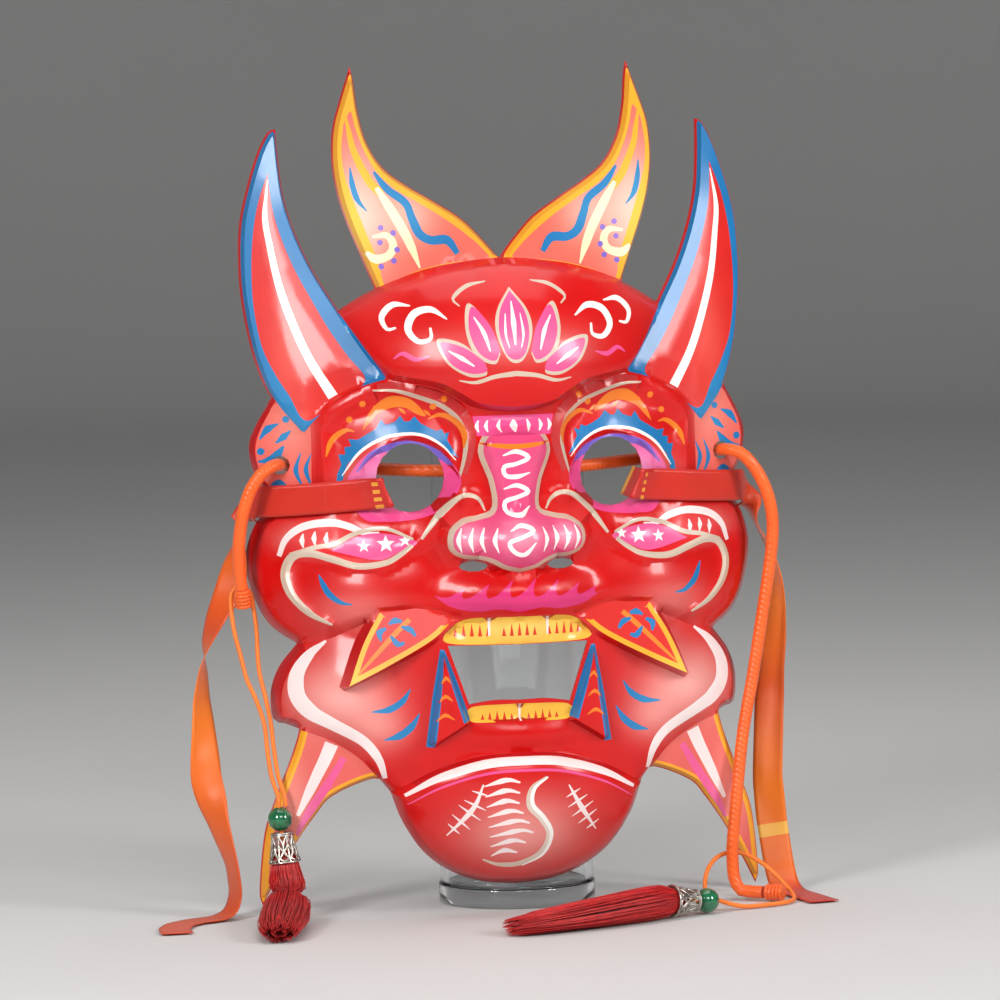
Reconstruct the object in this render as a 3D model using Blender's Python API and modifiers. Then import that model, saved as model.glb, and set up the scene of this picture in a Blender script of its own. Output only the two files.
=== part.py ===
"""A nuo mask on a clear stand.

The mask is one formed plastic sheet, open at the back. Sizes below are in millimetres and become metres
where a mesh is made. The mask has a frame of its own: x runs to the right from its centre plane, z runs up
from the floor, and depth runs forward from the plane of the ears. The model's origin is the middle of the
stand's underside, and the face looks along -Y.
"""

import math

import bmesh
import bpy
import numpy as np
from mathutils import Matrix, Vector
from mathutils.geometry import delaunay_2d_cdt

MM = 0.001
GAP = 0.3

# The sheet, and where it sits on the stand
SHEET = 1.2
MASK_X = -5.0
EAR_PLANE = 13.9
FINE = 6.5
COARSE = 9.5

# The stand
FOOT_R = 29.8
FOOT_H = 7.0
TUBE_R = 29.2
TUBE_WALL = 3.0
TUBE_TOP = 190.0

# The cords, beads, caps and tassels
CORD_D = 4.8
STRAND_D = 1.7
EAR_HOLE = (84.0, 170.0, 3.5, 3.5)
KNOT_R = 3.1
KNOT_H = 7.0
BEAD_R = 4.6
BEAD_BORE = 1.3
CAP_H = 11.5
CAP_TOP_R = 4.3
CAP_RIM_R = 6.2
CAP_WALL = 0.9

# The ribbons
RIBBON_W = 12.0
RIBBON_T = 1.0

# Outlines of the forms on the right half, as (x, z). Each run is one smooth stretch between two corners.
INNER_HORN = [
    [(0, 245), (5.5, 252), (13.3, 260.2), (23.7, 267.2), (33.8, 273.5), (42, 280.2), (47.5, 289.8),
     (50.2, 301), (51.4, 312), (52.5, 317.8)],
    [(52.5, 317.8), (56.6, 306), (59.9, 294.8), (60.7, 282.6), (59.3, 271.2), (56.4, 260.5), (51.5, 247.4),
     (46.4, 234)],
    [(46.4, 234), (34, 229), (16, 234), (0, 236)],
]
OUTER_HORN = [
    [(44.4, 201.6), (52.9, 214.4), (61.6, 229), (68.6, 241.5), (74, 254), (77.9, 267.5), (79.4, 280),
     (80.2, 295.2)],
    [(80.2, 295.2), (83, 294), (87.2, 286), (91.5, 273), (94.6, 260), (95.6, 246), (95.2, 232),
     (92.6, 214), (88.5, 200), (83.6, 191), (75.5, 181)],
    [(75.5, 181), (70.6, 186.9), (64, 193.5), (53.9, 198.8), (44.4, 201.6)],
]
DOME = [
    [(0, 245.4), (11.7, 244.4), (25.6, 242.3), (37.5, 238.7), (50, 233.4), (62, 226)],
    [(62, 226), (54, 212), (44.4, 201.6)],
    [(44.4, 201.6), (37, 200.3), (28, 198.4), (21, 194.6), (15.5, 191.3), (8, 189.6), (0, 189)],
]
EAR = [
    [(68, 196), (84, 196), (88.3, 191), (92.2, 184), (94.5, 177.4), (93.6, 169), (90.2, 161.7),
     (86.5, 157.5), (86.3, 150)],
    [(86.3, 150), (68, 150)],
    [(68, 150), (68, 196)],
]
UPPER_FACE = [
    [(0, 206), (60, 206), (71.5, 194)],
    [(71.5, 194), (71.5, 154)],
    [(71.5, 154), (87, 152.2)],
    [(87, 152.2), (91, 149.8), (94.3, 143.7), (96.4, 135), (95.8, 127), (93.2, 117.9), (90, 111.5),
     (85.8, 107), (79.3, 102.8)],
    [(79.3, 102.8), (68, 105.5), (56, 111), (44, 113), (0, 113)],
]
LOWER_FACE = [
    [(0, 118), (60, 118), (79.3, 102.8)],
    [(79.3, 102.8), (86, 93.6), (89, 84), (88.3, 74), (84.6, 72.5)],
    [(84.6, 72.5), (71.1, 68), (59.9, 61.2), (52.7, 53.6), (47.4, 47)],
    [(47.4, 47), (30, 40), (0, 40)],
]
FLAP = [
    [(47, 49), (53.3, 52), (68, 45.8), (74.6, 38.5), (82.6, 26.8), (89, 15), (94.6, 4)],
    [(94.6, 4), (95.6, 10), (93.4, 31), (89.4, 44), (82.5, 62), (79, 74)],
    [(79, 74), (60, 72), (47, 49)],
]
CHIN = [
    [(0, 61.8), (15.8, 60.6), (32.3, 55.6), (47.6, 47.2)],
    [(47.6, 47.2), (43.3, 35.8), (35.8, 24.3), (26.2, 16.5), (14, 11.6), (0, 10)],
]
TUSK = [
    [(21, 112.6), (28, 116.4), (36.4, 118.6), (44, 118), (52.4, 117.4)],
    [(52.4, 117.4), (60.2, 103.6), (67.4, 84.8)],
    [(67.4, 84.8), (48.4, 93.8), (30.5, 103.6), (21, 112.6)],
]
FANG = [
    [(28.6, 102.5), (34.9, 62.5)],
    [(34.9, 62.5), (18.7, 72.8)],
    [(18.7, 72.8), (28.6, 102.5)],
]
EYE_ALMOND = [
    [(62.4, 157), (55, 170.5), (45.5, 178.6), (34.1, 180.4), (25.4, 175), (20.6, 166)],
    [(20.6, 166), (24, 158), (30, 152.2), (38, 149.6), (48, 149.4), (62.4, 157)],
]
SOCKET = [
    [(70.5, 184), (64, 190.5), (53.9, 196), (44, 198), (30, 195.4), (20.4, 188.5), (17, 180), (18.4, 170),
     (22, 158), (30, 149), (44, 146.5), (60, 148), (68, 158), (70.5, 184)],
]
NOSE = [
    [(0, 184), (9, 182.5), (13.4, 175), (9.6, 163), (8.8, 153.5), (14, 150.8), (20, 149.6), (25, 145.5),
     (25.4, 139), (21, 135.4), (12, 134.2), (6, 131.2), (0, 129.6)],
]
UPPER_TEETH = [
    [(0, 113), (20.5, 112), (27.2, 103.6), (0, 102.2)],
]
LOWER_TEETH = [
    [(0, 80.2), (18.4, 79.2), (18.2, 73.6), (0, 73.6)],
]
MOUTH = [
    [(0, 102.2), (26.4, 102.4)],
    [(26.4, 102.4), (19, 80.2)],
    [(19, 80.2), (10, 81.6), (0, 81.4)],
]
SILVER_LINE = [
    [(14.8, 157), (20, 158), (27, 152), (34.3, 143.8), (41, 137.4), (48.8, 133.6), (58.6, 132.7),
     (67.5, 135.4), (75, 137.6), (81, 136), (83.9, 129.6), (81.8, 121.8), (75.6, 115.1), (68, 110.8)],
]

# Holes right through the sheet, as (x, z, half width, half height)
EYE_HOLE = (38.0, 165.0, 12.4, 13.0)
NOSTRIL = (16.4, 131.8, 5.2, 1.9)


def run_points(run, step):
    """Points about a step apart on a Catmull-Rom curve through one run."""
    points = np.array(run, float)
    if len(points) == 2:
        count = max(1, round(np.linalg.norm(points[1] - points[0]) / step))
        share = np.arange(count)[:, None] / count
        return points[0] + (points[1] - points[0]) * share
    padded = np.vstack([2 * points[0] - points[1], points, 2 * points[-1] - points[-2]])
    result = []
    for before, start, end, after in zip(padded, padded[1:], padded[2:], padded[3:]):
        count = max(1, round(np.linalg.norm(end - start) / step))
        for t in np.arange(count) / count:
            result.append(
                0.5 * (2 * start + (end - before) * t + (2 * before - 5 * start + 4 * end - after) * t * t
                       + (3 * start - before - 3 * end + after) * t ** 3)
            )
    return np.array(result)


def outline_points(runs, step):
    """A closed outline; one that starts and ends on the centre plane is mirrored to its left half."""
    points = np.vstack([run_points(run, step) for run in runs])
    first = runs[0][0]
    last = runs[-1][-1]
    if first != last and first[0] == 0 and last[0] == 0:
        points = np.vstack([points, [last]])
        left = points[1:-1][::-1] * [-1, 1]
        return np.vstack([points, left])
    return points


def signed_distance(outline, x, z, reach=14.0):
    """How far each point lies inside a closed outline, negative outside, cut off at the reach."""
    low = outline.min(axis=0) - reach
    high = outline.max(axis=0) + reach
    near = (x > low[0]) & (x < high[0]) & (z > low[1]) & (z < high[1])
    px = x[near]
    pz = z[near]
    closest = np.full(px.shape, reach ** 2)
    inside = np.zeros(px.shape, bool)
    for (ax, az), (bx, bz) in zip(outline, np.roll(outline, -1, axis=0)):
        dx = bx - ax
        dz = bz - az
        along = np.clip(((px - ax) * dx + (pz - az) * dz) / (dx * dx + dz * dz), 0, 1)
        closest = np.minimum(closest, (px - ax - along * dx) ** 2 + (pz - az - along * dz) ** 2)
        if az != bz:
            inside ^= ((az > pz) != (bz > pz)) & (px < ax + dx * (pz - az) / dz)
    result = np.full(x.shape, -reach)
    result[near] = np.where(inside, 1, -1) * np.sqrt(closest)
    return result


def line_distance(line, x, z, reach=8.0):
    """Distance to an open line, cut off at the reach."""
    closest = np.full(x.shape, reach ** 2)
    for (ax, az), (bx, bz) in zip(line, line[1:]):
        dx = bx - ax
        dz = bz - az
        along = np.clip(((x - ax) * dx + (z - az) * dz) / (dx * dx + dz * dz), 0, 1)
        closest = np.minimum(closest, (x - ax - along * dx) ** 2 + (z - az - along * dz) ** 2)
    return np.sqrt(closest)


FORM_STEP = 3.0
EDGE = -0.6
FORMS = {
    name: outline_points(runs, FORM_STEP)
    for name, runs in {
        "inner_horn": INNER_HORN, "outer_horn": OUTER_HORN, "dome": DOME, "ear": EAR,
        "upper_face": UPPER_FACE, "lower_face": LOWER_FACE, "flap": FLAP, "chin": CHIN, "tusk": TUSK,
        "fang": FANG, "eye_almond": EYE_ALMOND, "socket": SOCKET, "nose": NOSE,
        "upper_teeth": UPPER_TEETH, "lower_teeth": LOWER_TEETH, "mouth": MOUTH,
    }.items()
}
SILVER = run_points(SILVER_LINE[0], FORM_STEP)


def bump(x, z, centre_x, centre_z, half_x, half_z):
    """A soft round hump, 1 at its centre and 0 at its edge."""
    inside = 1 - ((x - centre_x) / half_x) ** 2 - ((z - centre_z) / half_z) ** 2
    return np.clip(inside, 0, 1) ** 1.5


def ball(x, z, centre_x, centre_z, half_x, half_z, foot, height):
    """Half of an ellipsoid standing on its foot depth, and nothing outside it."""
    inside = 1 - ((x - centre_x) / half_x) ** 2 - ((z - centre_z) / half_z) ** 2
    return np.where(inside > 0, foot + height * np.sqrt(np.clip(inside, 0, 1)), -100)


def ridge(distance, half_width):
    return np.clip(1 - (distance / half_width) ** 2, 0, 1) ** 2


def step_up(inside, run):
    """0 at an outline and 1 a run inside it, with a soft foot and shoulder."""
    t = np.clip(inside / run, 0, 1)
    return t * t * (3 - 2 * t)


def rounded(inside, run):
    """0 at an outline and 1 a run inside it, as a quarter circle rises."""
    t = np.clip(inside / run, 0, 1)
    return np.sqrt(1 - (1 - t) ** 2)


def plate(depth, inside, top, drop, run, profile=step_up):
    """A raised form: its wall climbs from what lies below, or from a drop under its top."""
    foot = np.maximum(depth, top - drop)
    return np.where(inside > EDGE, foot + (top - foot) * profile(inside, run), depth)


def face_depth(x, z):
    """Depth of the sheet's front, in millimetres forward of the ear plane."""
    x = np.abs(x)
    inside = {name: signed_distance(outline, x, z) for name, outline in FORMS.items()}
    base = 36 - 0.0045 * np.maximum(z - 175, 0) ** 2 - 0.0006 * np.maximum(100 - z, 0) ** 2 - 0.004 * x * x
    base = base - 0.012 * np.maximum(47 - z, 0) ** 2
    depth = base - 6
    depth = plate(depth, inside["ear"], 13 - 0.54 * (x - 71.5), 2.5, 1.6)
    flap_top = 31.5 - 0.28 * x + 0.065 * z
    depth = np.where(inside["flap"] > EDGE, flap_top - 3 * (1 - step_up(inside["flap"], 1.6)), depth)
    jowl = base + 6 * bump(x, z, 68, 84, 26, 24)
    depth = plate(depth, inside["lower_face"], jowl, 6, 5, rounded)
    cheek = base + 7 * bump(x, z, 62, 122, 34, 22) + 2 * bump(x, z, 74, 144, 16, 10)
    depth = plate(depth, inside["upper_face"], cheek, 6, 5, rounded)
    depth = eyes(depth, inside, x, z)
    depth = nose_and_lips(depth, inside, x, z)
    depth = plate(depth, inside["chin"], 44 - 0.0075 * x * x - 0.0135 * (z - 50) ** 2, 6, 5, rounded)
    depth = plate(depth, inside["fang"], base + 4, 5, 1.6)
    depth = plate(depth, inside["tusk"], 64.8 - 0.13 * x - 0.25 * z, 30, 2)
    depth = plate(depth, inside["inner_horn"], 47.7 - 0.1 * x - 0.13 * z, 5.5, 1.6)
    dome = 46 - 0.0079 * x * x - 0.0152 * (z - 205) ** 2
    depth = plate(depth, inside["dome"], dome, 6, 3, rounded)
    crown = 1.5 * np.clip(inside["outer_horn"] / 12, 0, 1)
    return plate(depth, inside["outer_horn"], 74 - 0.437 * x - 0.156 * z + crown, 5.5, 1.6)


def eyes(depth, inside, x, z):
    """Sunk sockets with a raised rim, a bulging lid and a flatter eye around each eye hole."""
    depth = depth - 3 * step_up(inside["socket"], 6)
    depth = depth + 1.6 * ridge(inside["socket"], 2.4) * (z > 150) * (x < 50)
    depth = depth + 4 * bump(x, z, 41, 170, 27, 21)
    return depth - 2.6 * step_up(inside["eye_almond"], 1.6)


def nose_and_lips(depth, inside, x, z):
    """The nose, the ridges that run from it over the cheeks, both lips and the rows of teeth."""
    depth = depth + 2 * ridge(line_distance(SILVER, x, z), 3)
    depth = depth + 8 * bump(x, z, 0, 121, 36, 13)
    depth = depth + 4.5 * step_up(inside["nose"], 3)
    depth = np.maximum(depth, ball(x, z, 0, 141, 17, 13, 33, 17))
    depth = np.maximum(depth, ball(x, z, 17, 142, 10, 8.5, 31, 12.5))
    upper_gap = ridge(x - 11, 1.6)
    depth = np.where(inside["upper_teeth"] > 0,
                     depth + (38 - 0.012 * x * x - 1.6 * upper_gap - depth)
                      * step_up(inside["upper_teeth"], 1.2),
                     depth)
    depth = depth + 2.5 * bump(x, z, 0, 68, 22, 8)
    return np.where(inside["lower_teeth"] > 0,
                    depth + (34.5 - 0.006 * x * x - 1.6 * ridge(x, 1.6) - depth)
                    * step_up(inside["lower_teeth"], 1.2),
                    depth)


def ellipse(hole, count):
    centre_x, centre_z, half_x, half_z = hole
    turns = np.arange(count) * 2 * math.pi / count
    return np.column_stack([centre_x + half_x * np.cos(turns), centre_z + half_z * np.sin(turns)])


def both_sides(outline):
    return [outline, outline * [-1, 1]]


def shell_outlines(step):
    """The outlines whose union is the sheet."""
    middle = [DOME, UPPER_FACE, LOWER_FACE, CHIN]
    sides = [INNER_HORN, OUTER_HORN, EAR, FLAP]
    result = [outline_points(runs, step) for runs in middle]
    for runs in sides:
        result += both_sides(outline_points(runs, step))
    return result


def hole_outlines():
    result = [outline_points(MOUTH, 4)]
    for hole, count in ((EYE_HOLE, 20), (EAR_HOLE, 10), (NOSTRIL, 10)):
        result += both_sides(ellipse(hole, count))
    return result


def inset(outline, distance):
    """Runs of points a distance inside an outline, broken where it is too narrow for them."""
    before = outline - np.roll(outline, 1, axis=0)
    after = np.roll(outline, -1, axis=0) - outline
    direction = (before / np.linalg.norm(before, axis=1)[:, None]
                 + after / np.linalg.norm(after, axis=1)[:, None])
    direction /= np.linalg.norm(direction, axis=1)[:, None]
    normal = np.column_stack([-direction[:, 1], direction[:, 0]])
    best = None
    for side in (1, -1):
        points = outline + normal * distance * side
        depth = signed_distance(outline, points[:, 0], points[:, 1])
        good = depth > 0.93 * distance
        if best is None or good.sum() > best[1].sum():
            best = (points, good)
    points, good = best
    runs = []
    current = []
    for point, keep in zip(points, good):
        if keep:
            current.append(point)
        elif current:
            runs.append(np.array(current))
            current = []
    if current:
        runs.append(np.array(current))
    if len(runs) > 1 and good[0] and good[-1]:
        runs[0] = np.vstack([runs.pop(), runs[0]])
    elif len(runs) == 1 and good.all():
        runs[0] = np.vstack([runs[0], runs[0][:1]])
    return [run for run in runs if len(run) > 1]


def crease_lines(step):
    """Open lines along the tops of walls and the edges of forms, where the mesh needs vertices."""
    lines = []
    for runs, wall in ((INNER_HORN, 1.6), (OUTER_HORN, 1.6), (FLAP, 1.6), (EAR, 1.6),
                        (TUSK, 3.0), (FANG, 1.6)):
        outline = outline_points(runs, step)
        for side in both_sides(outline):
            lines += inset(side, wall)
    for runs, wall in ((DOME, 2.2), (CHIN, 2.5), (UPPER_FACE, 3.0), (LOWER_FACE, 3.0)):
        lines += inset(outline_points(runs, step), wall)
    for runs in (TUSK, FANG, EYE_ALMOND):
        for side in both_sides(outline_points(runs, step)):
            lines.append(np.vstack([side, side[:1]]))
    for runs in (UPPER_TEETH, LOWER_TEETH, NOSE):
        outline = outline_points(runs, step)
        lines.append(np.vstack([outline, outline[:1]]))
    lines += both_sides(run_points(SILVER_LINE[0], step))
    return lines


def lattice(step, fixed):
    """A triangular lattice over the mask that keeps clear of the fixed points."""
    rows = np.arange(0, 322, step * math.sqrt(0.75))
    points = []
    for index, z in enumerate(rows):
        first = step / 2 if index % 2 else 0
        columns = np.arange(first, 100, step)
        points += [(x, z) for x in columns]
        points += [(-x, z) for x in columns if x > 0]
    points = np.array(points)
    clear = np.full(len(points), True)
    for start in range(0, len(fixed), 200):
        block = fixed[start:start + 200]
        gaps = np.linalg.norm(points[:, None] - block[None], axis=2).min(axis=1)
        clear &= gaps > 0.55 * step
    return points[clear]


def sheet_triangles(shells, holes, lines, spacing):
    """Flat triangles of the sheet: points, and triples of indices into them."""
    points = []
    edges = []

    def add(line, closed):
        start = len(points)
        points.extend(map(tuple, line))
        edges.extend((start + i, start + i + 1) for i in range(len(line) - 1))
        if closed:
            edges.append((start + len(line) - 1, start))

    for outline in shells + holes:
        add(outline, True)
    for line in lines:
        add(line, False)
    free = lattice(spacing, np.array(points))
    points.extend(map(tuple, free))
    flat, _, faces, *_ = delaunay_2d_cdt([Vector(p) for p in points], edges, [], 0, 0.02)
    flat = np.array([tuple(v) for v in flat])
    faces = np.array([face for face in faces if len(face) == 3])
    centres = flat[faces].mean(axis=1)
    keep = np.zeros(len(faces), bool)
    for outline in shells:
        keep |= signed_distance(outline, centres[:, 0], centres[:, 1], 400.0) > 0
    for outline in holes:
        keep &= signed_distance(outline, centres[:, 0], centres[:, 1], 400.0) < 0
    faces = faces[keep]
    used = np.unique(faces)
    renumber = np.zeros(len(flat), int)
    renumber[used] = np.arange(len(used))
    return flat[used], renumber[faces]


def back_depth(x, z, front, shells, holes):
    """Depth of the sheet's back: the front, pushed back by the wall thickness along its normals."""
    cell = 0.8
    grid_x, grid_z = np.meshgrid(np.arange(-102, 102, cell), np.arange(0, 324, cell), indexing="ij")
    depth = face_depth(grid_x.ravel(), grid_z.ravel()).reshape(grid_x.shape)
    solid = np.zeros(grid_x.shape, bool)
    for outline in shells:
        solid |= signed_distance(outline, grid_x.ravel(), grid_z.ravel(), 1.0).reshape(grid_x.shape) > 0
    for outline in holes:
        solid &= signed_distance(outline, grid_x.ravel(), grid_z.ravel(), 1.0).reshape(grid_x.shape) < 0
    depth = np.where(solid, depth, 1000.0)
    pushed = depth - SHEET
    reach = int(SHEET / cell) + 1
    for step_x in range(-reach, reach + 1):
        for step_z in range(-reach, reach + 1):
            aside = math.hypot(step_x, step_z) * cell
            if aside < SHEET:
                moved = np.roll(depth, (step_x, step_z), axis=(0, 1)) - math.sqrt(SHEET ** 2 - aside ** 2)
                pushed = np.minimum(pushed, moved)
    column = np.clip(((x + 102) / cell).round().astype(int), 0, grid_x.shape[0] - 1)
    row = np.clip((z / cell).round().astype(int), 0, grid_x.shape[1] - 1)
    return np.minimum(front - SHEET, pushed[column, row])


def model_point(x, z, depth):
    """From the mask's frame, in millimetres, to the model's, in metres."""
    return ((x + MASK_X) * MM, -(depth + EAR_PLANE) * MM, z * MM)


def rim_edges(faces):
    """The edges of the sheet's outline and holes, each in the direction of its triangle."""
    seen = {}
    for a, b, c in faces:
        for edge in ((a, b), (b, c), (c, a)):
            seen[edge] = True
    return [edge for edge in seen if (edge[1], edge[0]) not in seen]


def material(name, colour, roughness, metallic=0.0, alpha=1.0):
    made = bpy.data.materials.new(name)
    made.use_nodes = True
    shader = made.node_tree.nodes["Principled BSDF"]
    shader.inputs["Base Color"].default_value = (*colour, 1.0)
    shader.inputs["Roughness"].default_value = roughness
    shader.inputs["Metallic"].default_value = metallic
    shader.inputs["Alpha"].default_value = alpha
    return made


def add_mesh(name, points, faces, finish, collection):
    mesh = bpy.data.meshes.new(name)
    mesh.from_pydata([tuple(p) for p in points], [], [tuple(int(i) for i in face) for face in faces])
    mesh.materials.append(finish)
    mesh.validate()
    piece = bpy.data.objects.new(name, mesh)
    collection.objects.link(piece)
    return piece


def close_and_orient(piece):
    """Weld the piece and turn its faces outwards."""
    work = bmesh.new()
    work.from_mesh(piece.data)
    bmesh.ops.remove_doubles(work, verts=work.verts, dist=1e-7)
    bmesh.ops.recalc_face_normals(work, faces=work.faces)
    work.to_mesh(piece.data)
    work.free()


def mask_sheet(finish, collection):
    shells = shell_outlines(FINE)
    holes = hole_outlines()
    flat, faces = sheet_triangles(shells, holes, crease_lines(FINE), COARSE)
    x, z = flat.T
    front = face_depth(x, z)
    back = back_depth(x, z, front, shells, holes)
    points = [model_point(*p) for p in zip(x, z, front)] + [model_point(*p) for p in zip(x, z, back)]
    count = len(flat)
    sides = [(a, b, b + count, a + count) for a, b in rim_edges(faces)]
    solid = [tuple(face) for face in faces] + [tuple(face[::-1] + count) for face in faces] + sides
    piece = add_mesh("mask_sheet", points, solid, finish, collection)
    close_and_orient(piece)
    return piece


def turned(name, profile, segments, finish, collection):
    """A solid turned about its own Z, from a profile of (radius, height) in millimetres."""
    mesh = bpy.data.meshes.new(name)
    points = [(radius * MM, 0, height * MM) for radius, height in profile]
    edges = [(k, k + 1) for k in range(len(points) - 1)]
    if profile[0][0] > 0 and profile[-1][0] > 0:
        edges.append((len(points) - 1, 0))
    mesh.from_pydata(points, edges, [])
    mesh.materials.append(finish)
    piece = bpy.data.objects.new(name, mesh)
    collection.objects.link(piece)
    screw = piece.modifiers.new("turn", "SCREW")
    screw.steps = segments
    screw.render_steps = segments
    screw.use_merge_vertices = True
    screw.merge_threshold = 1e-6
    bpy.context.view_layer.update()
    evaluated = piece.evaluated_get(bpy.context.evaluated_depsgraph_get())
    result = bpy.data.meshes.new_from_object(evaluated)
    piece.modifiers.clear()
    piece.data = result
    close_and_orient(piece)
    return piece


def smooth_route(points, count):
    """Evenly spaced points on one smooth curve through a route's own points."""
    points = np.array(points, float)
    padded = np.vstack([2 * points[0] - points[1], points, 2 * points[-1] - points[-2]])
    dense = []
    for before, start, end, after in zip(padded, padded[1:], padded[2:], padded[3:]):
        for t in np.arange(16) / 16:
            dense.append(
                0.5 * (2 * start + (end - before) * t + (2 * before - 5 * start + 4 * end - after) * t * t
                       + (3 * start - before - 3 * end + after) * t ** 3)
            )
    dense = np.array(dense + [points[-1]])
    travelled = np.concatenate([[0], np.cumsum(np.linalg.norm(np.diff(dense, axis=0), axis=1))])
    wanted = np.linspace(0, travelled[-1], count)
    return np.column_stack([np.interp(wanted, travelled, dense[:, k]) for k in range(3)])


def cord_points(route, diameter):
    """The points a cord's solid is drawn through, about two and a half diameters apart."""
    length = np.linalg.norm(np.diff(np.array(route, float), axis=0), axis=1).sum()
    return smooth_route(route, max(6, round(length / (2.4 * diameter))))


def tube(name, route, diameter, finish, collection):
    """A cord's solid: a round curve through the route's points, given as (x, z, depth)."""
    points = cord_points(route, diameter)
    curve = bpy.data.curves.new(name, "CURVE")
    curve.dimensions = "3D"
    curve.bevel_depth = diameter / 2 * MM
    curve.bevel_resolution = 2
    curve.use_fill_caps = True
    spline = curve.splines.new("POLY")
    spline.points.add(len(points) - 1)
    for target, (x, z, depth) in zip(spline.points, points):
        target.co = (*model_point(x, z, depth), 1)
    curve.materials.append(finish)
    piece = bpy.data.objects.new(name, curve)
    collection.objects.link(piece)
    return piece


# Routes of the cords, in the mask's frame, as (x, z, depth)
EAR_CORD_LEFT_END = [(-99.5, 124, 4.6), (-100.6, 132, 6.4), (-100.4, 143, 8.6), (-98.6, 154, 10.6),
                     (-95.2, 163, 11.8), (-90.4, 168.6, 12), (-86.4, 170.2, 9.6)]
EAR_CORD_BEHIND = [(-84, 170, 5), (-81, 169.6, 0.4), (-74, 169, -1.4), (-62, 168.2, 1.6), (-38, 166.8, 9.4),
                   (-14, 166, 15.6), (5, 165.8, 18.1), (20, 166, 16.2), (40, 166.8, 8.8), (62, 168.2, 1.6),
                   (74, 169, -1.4), (81, 169.6, 0.4), (84, 170, 5)]
EAR_CORD_RIGHT_END = [(86.4, 170.2, 9.6), (91, 168.6, 12), (96.4, 162, 12.6), (100.8, 152, 12),
                      (102.4, 140, 11),
                      (100.6, 124, 10.6), (97, 104, 11), (93.2, 84, 12), (88.8, 64, 14), (86, 46, 16),
                      (84.2, 32, 17.4), (83, 22, 17.8), (82.8, 14, 17.8), (83.4, 7.4, 18.2),
                      (85.4, 3.8, 19.4),
                      (88.6, 3.3, 21.4), (93, 3.3, 24.6)]
LEFT_BEAD = (-88.7, 38, 15)
LEFT_HANG = (0.08, -1, 0.06)
LEFT_STRANDS = [(-89.2, 46.5, 14.6), (-91.2, 54, 12), (-92.2, 64, 9.5), (-92.8, 73, 7.5), (-95.4, 82, 6),
                (-98.6, 90, 4.5), (-100.4, 98, 3.6), (-102.6, 108, 2.6), (-103.4, 117, 1.3),
                (-102.8, 122, -0.6), (-99.4, 125, -2.2), (-95.8, 122, -0.4), (-95.1, 117, 1.5),
                (-94.2, 108, 2.6), (-93.9, 94, 4), (-91.7, 82, 5.8), (-90.3, 73, 7.4), (-89.7, 64, 9.4),
                (-88.7, 54, 12), (-87, 47.5, 14.4), (-86.4, 42.8, 15)]
RIGHT_BEAD = (66.4, 4.9, 50)
RIGHT_LIE = (-0.9, 0.09, 0.4)
RIGHT_STRANDS = [(76.5, 2.4, 45.6), (82, 1.1, 44), (88, 1, 42.5), (94.6, 1, 40), (100.4, 1, 36),
                 (103.8, 1.4, 30), (103, 4, 23.4), (98.6, 9.5, 17.8), (93.4, 14, 14.8), (88, 16.8, 14),
                 (83, 17.6, 13.7), (78, 16.6, 15.6), (74, 14.4, 20), (70.8, 11, 26),
                 (69, 7, 33), (68.6, 6.4, 39.5),
                 (68.6, 7.2, 44)]

# Ribbons: centre as (x, z, depth) and the direction of the width, as degrees from x towards depth
LEFT_RIBBON = [(-98, 141, -8.4, 82), (-100, 133, -8.6, 50), (-102, 124, -8.2, 23), (-108, 113, -7, 54),
               (-112.3, 103, -6, 79), (-113.8, 94, -5, 110), (-115, 82, -4, 128), (-114.6, 67, -3, 149),
               (-114.3, 52, -2, 180), (-110.4, 36, 0, 232), (-106, 20, 3, 252), (-105, 9, 5, 252)]
LEFT_RIBBON_END = [(-107, 2.6, 6, 252), (-112, 0.7, 8, 249), (-121, 0.7, 12.4, 234), (-128, 0.7, 20, 214),
                   (-131.4, 0.7, 31, 190), (-131, 0.7, 42, 178)]
RIGHT_RIBBON = [(99.4, 141, -8.8, 96), (104, 133, -8.4, 88), (106.6, 125, -7, 88), (107.4, 118, -6.4, 80),
                (106.7, 110, -6, 65), (105.6, 96.5, -6, 52), (104.3, 84, -6, 50), (103.1, 73.7, -6, 30),
                (101.8, 43.3, -6, 26), (103, 27.4, -6, 4), (103.9, 19.8, -5.6, 0), (105.2, 9.1, -4, 0)]
RIGHT_RIBBON_END = [(106, 2.8, -0.6, 0), (107.2, 0.7, 5, 0), (110.6, 0.7, 20, -8), (114, 0.7, 38, -10)]


def place(piece, centre, along):
    """Stand a turned piece on its centre point, with its own Z along a direction, both in (x, z, depth)."""
    x, z, depth = along
    direction = Vector((x, -depth, z)).normalized()
    turn = Vector((0, 0, 1)).rotation_difference(direction)
    matrix = Matrix.Translation(Vector(model_point(*centre[:3]))) @ turn.to_matrix().to_4x4()
    piece.data.transform(matrix)
    return piece


def knot(name, centre, along, finish, collection):
    """The whipped end of the ear cord: three turns of thin cord drawn tight."""
    half = KNOT_H / 2
    profile = [(0, -half), (KNOT_R * 0.75, -half)]
    for turn in range(3):
        low = -half + KNOT_H * turn / 3
        profile += [(KNOT_R, low + KNOT_H / 12), (KNOT_R, low + KNOT_H / 4),
                    (KNOT_R * 0.84, low + KNOT_H / 3)]
    profile[-1] = (KNOT_R * 0.75, half)
    profile.append((0, half))
    return place(turned(name, profile, 12, finish, collection), centre, along)


def bead(name, centre, along, finish, collection):
    """A round bead with a bore along its own Z."""
    rows = 8
    low = math.asin(BEAD_BORE / BEAD_R)
    angles = [low + (math.pi - 2 * low) * k / rows for k in range(rows + 1)]
    profile = [(BEAD_R * math.sin(a), -BEAD_R * math.cos(a)) for a in angles]
    return place(turned(name, profile, 14, finish, collection), centre, along)


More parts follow.
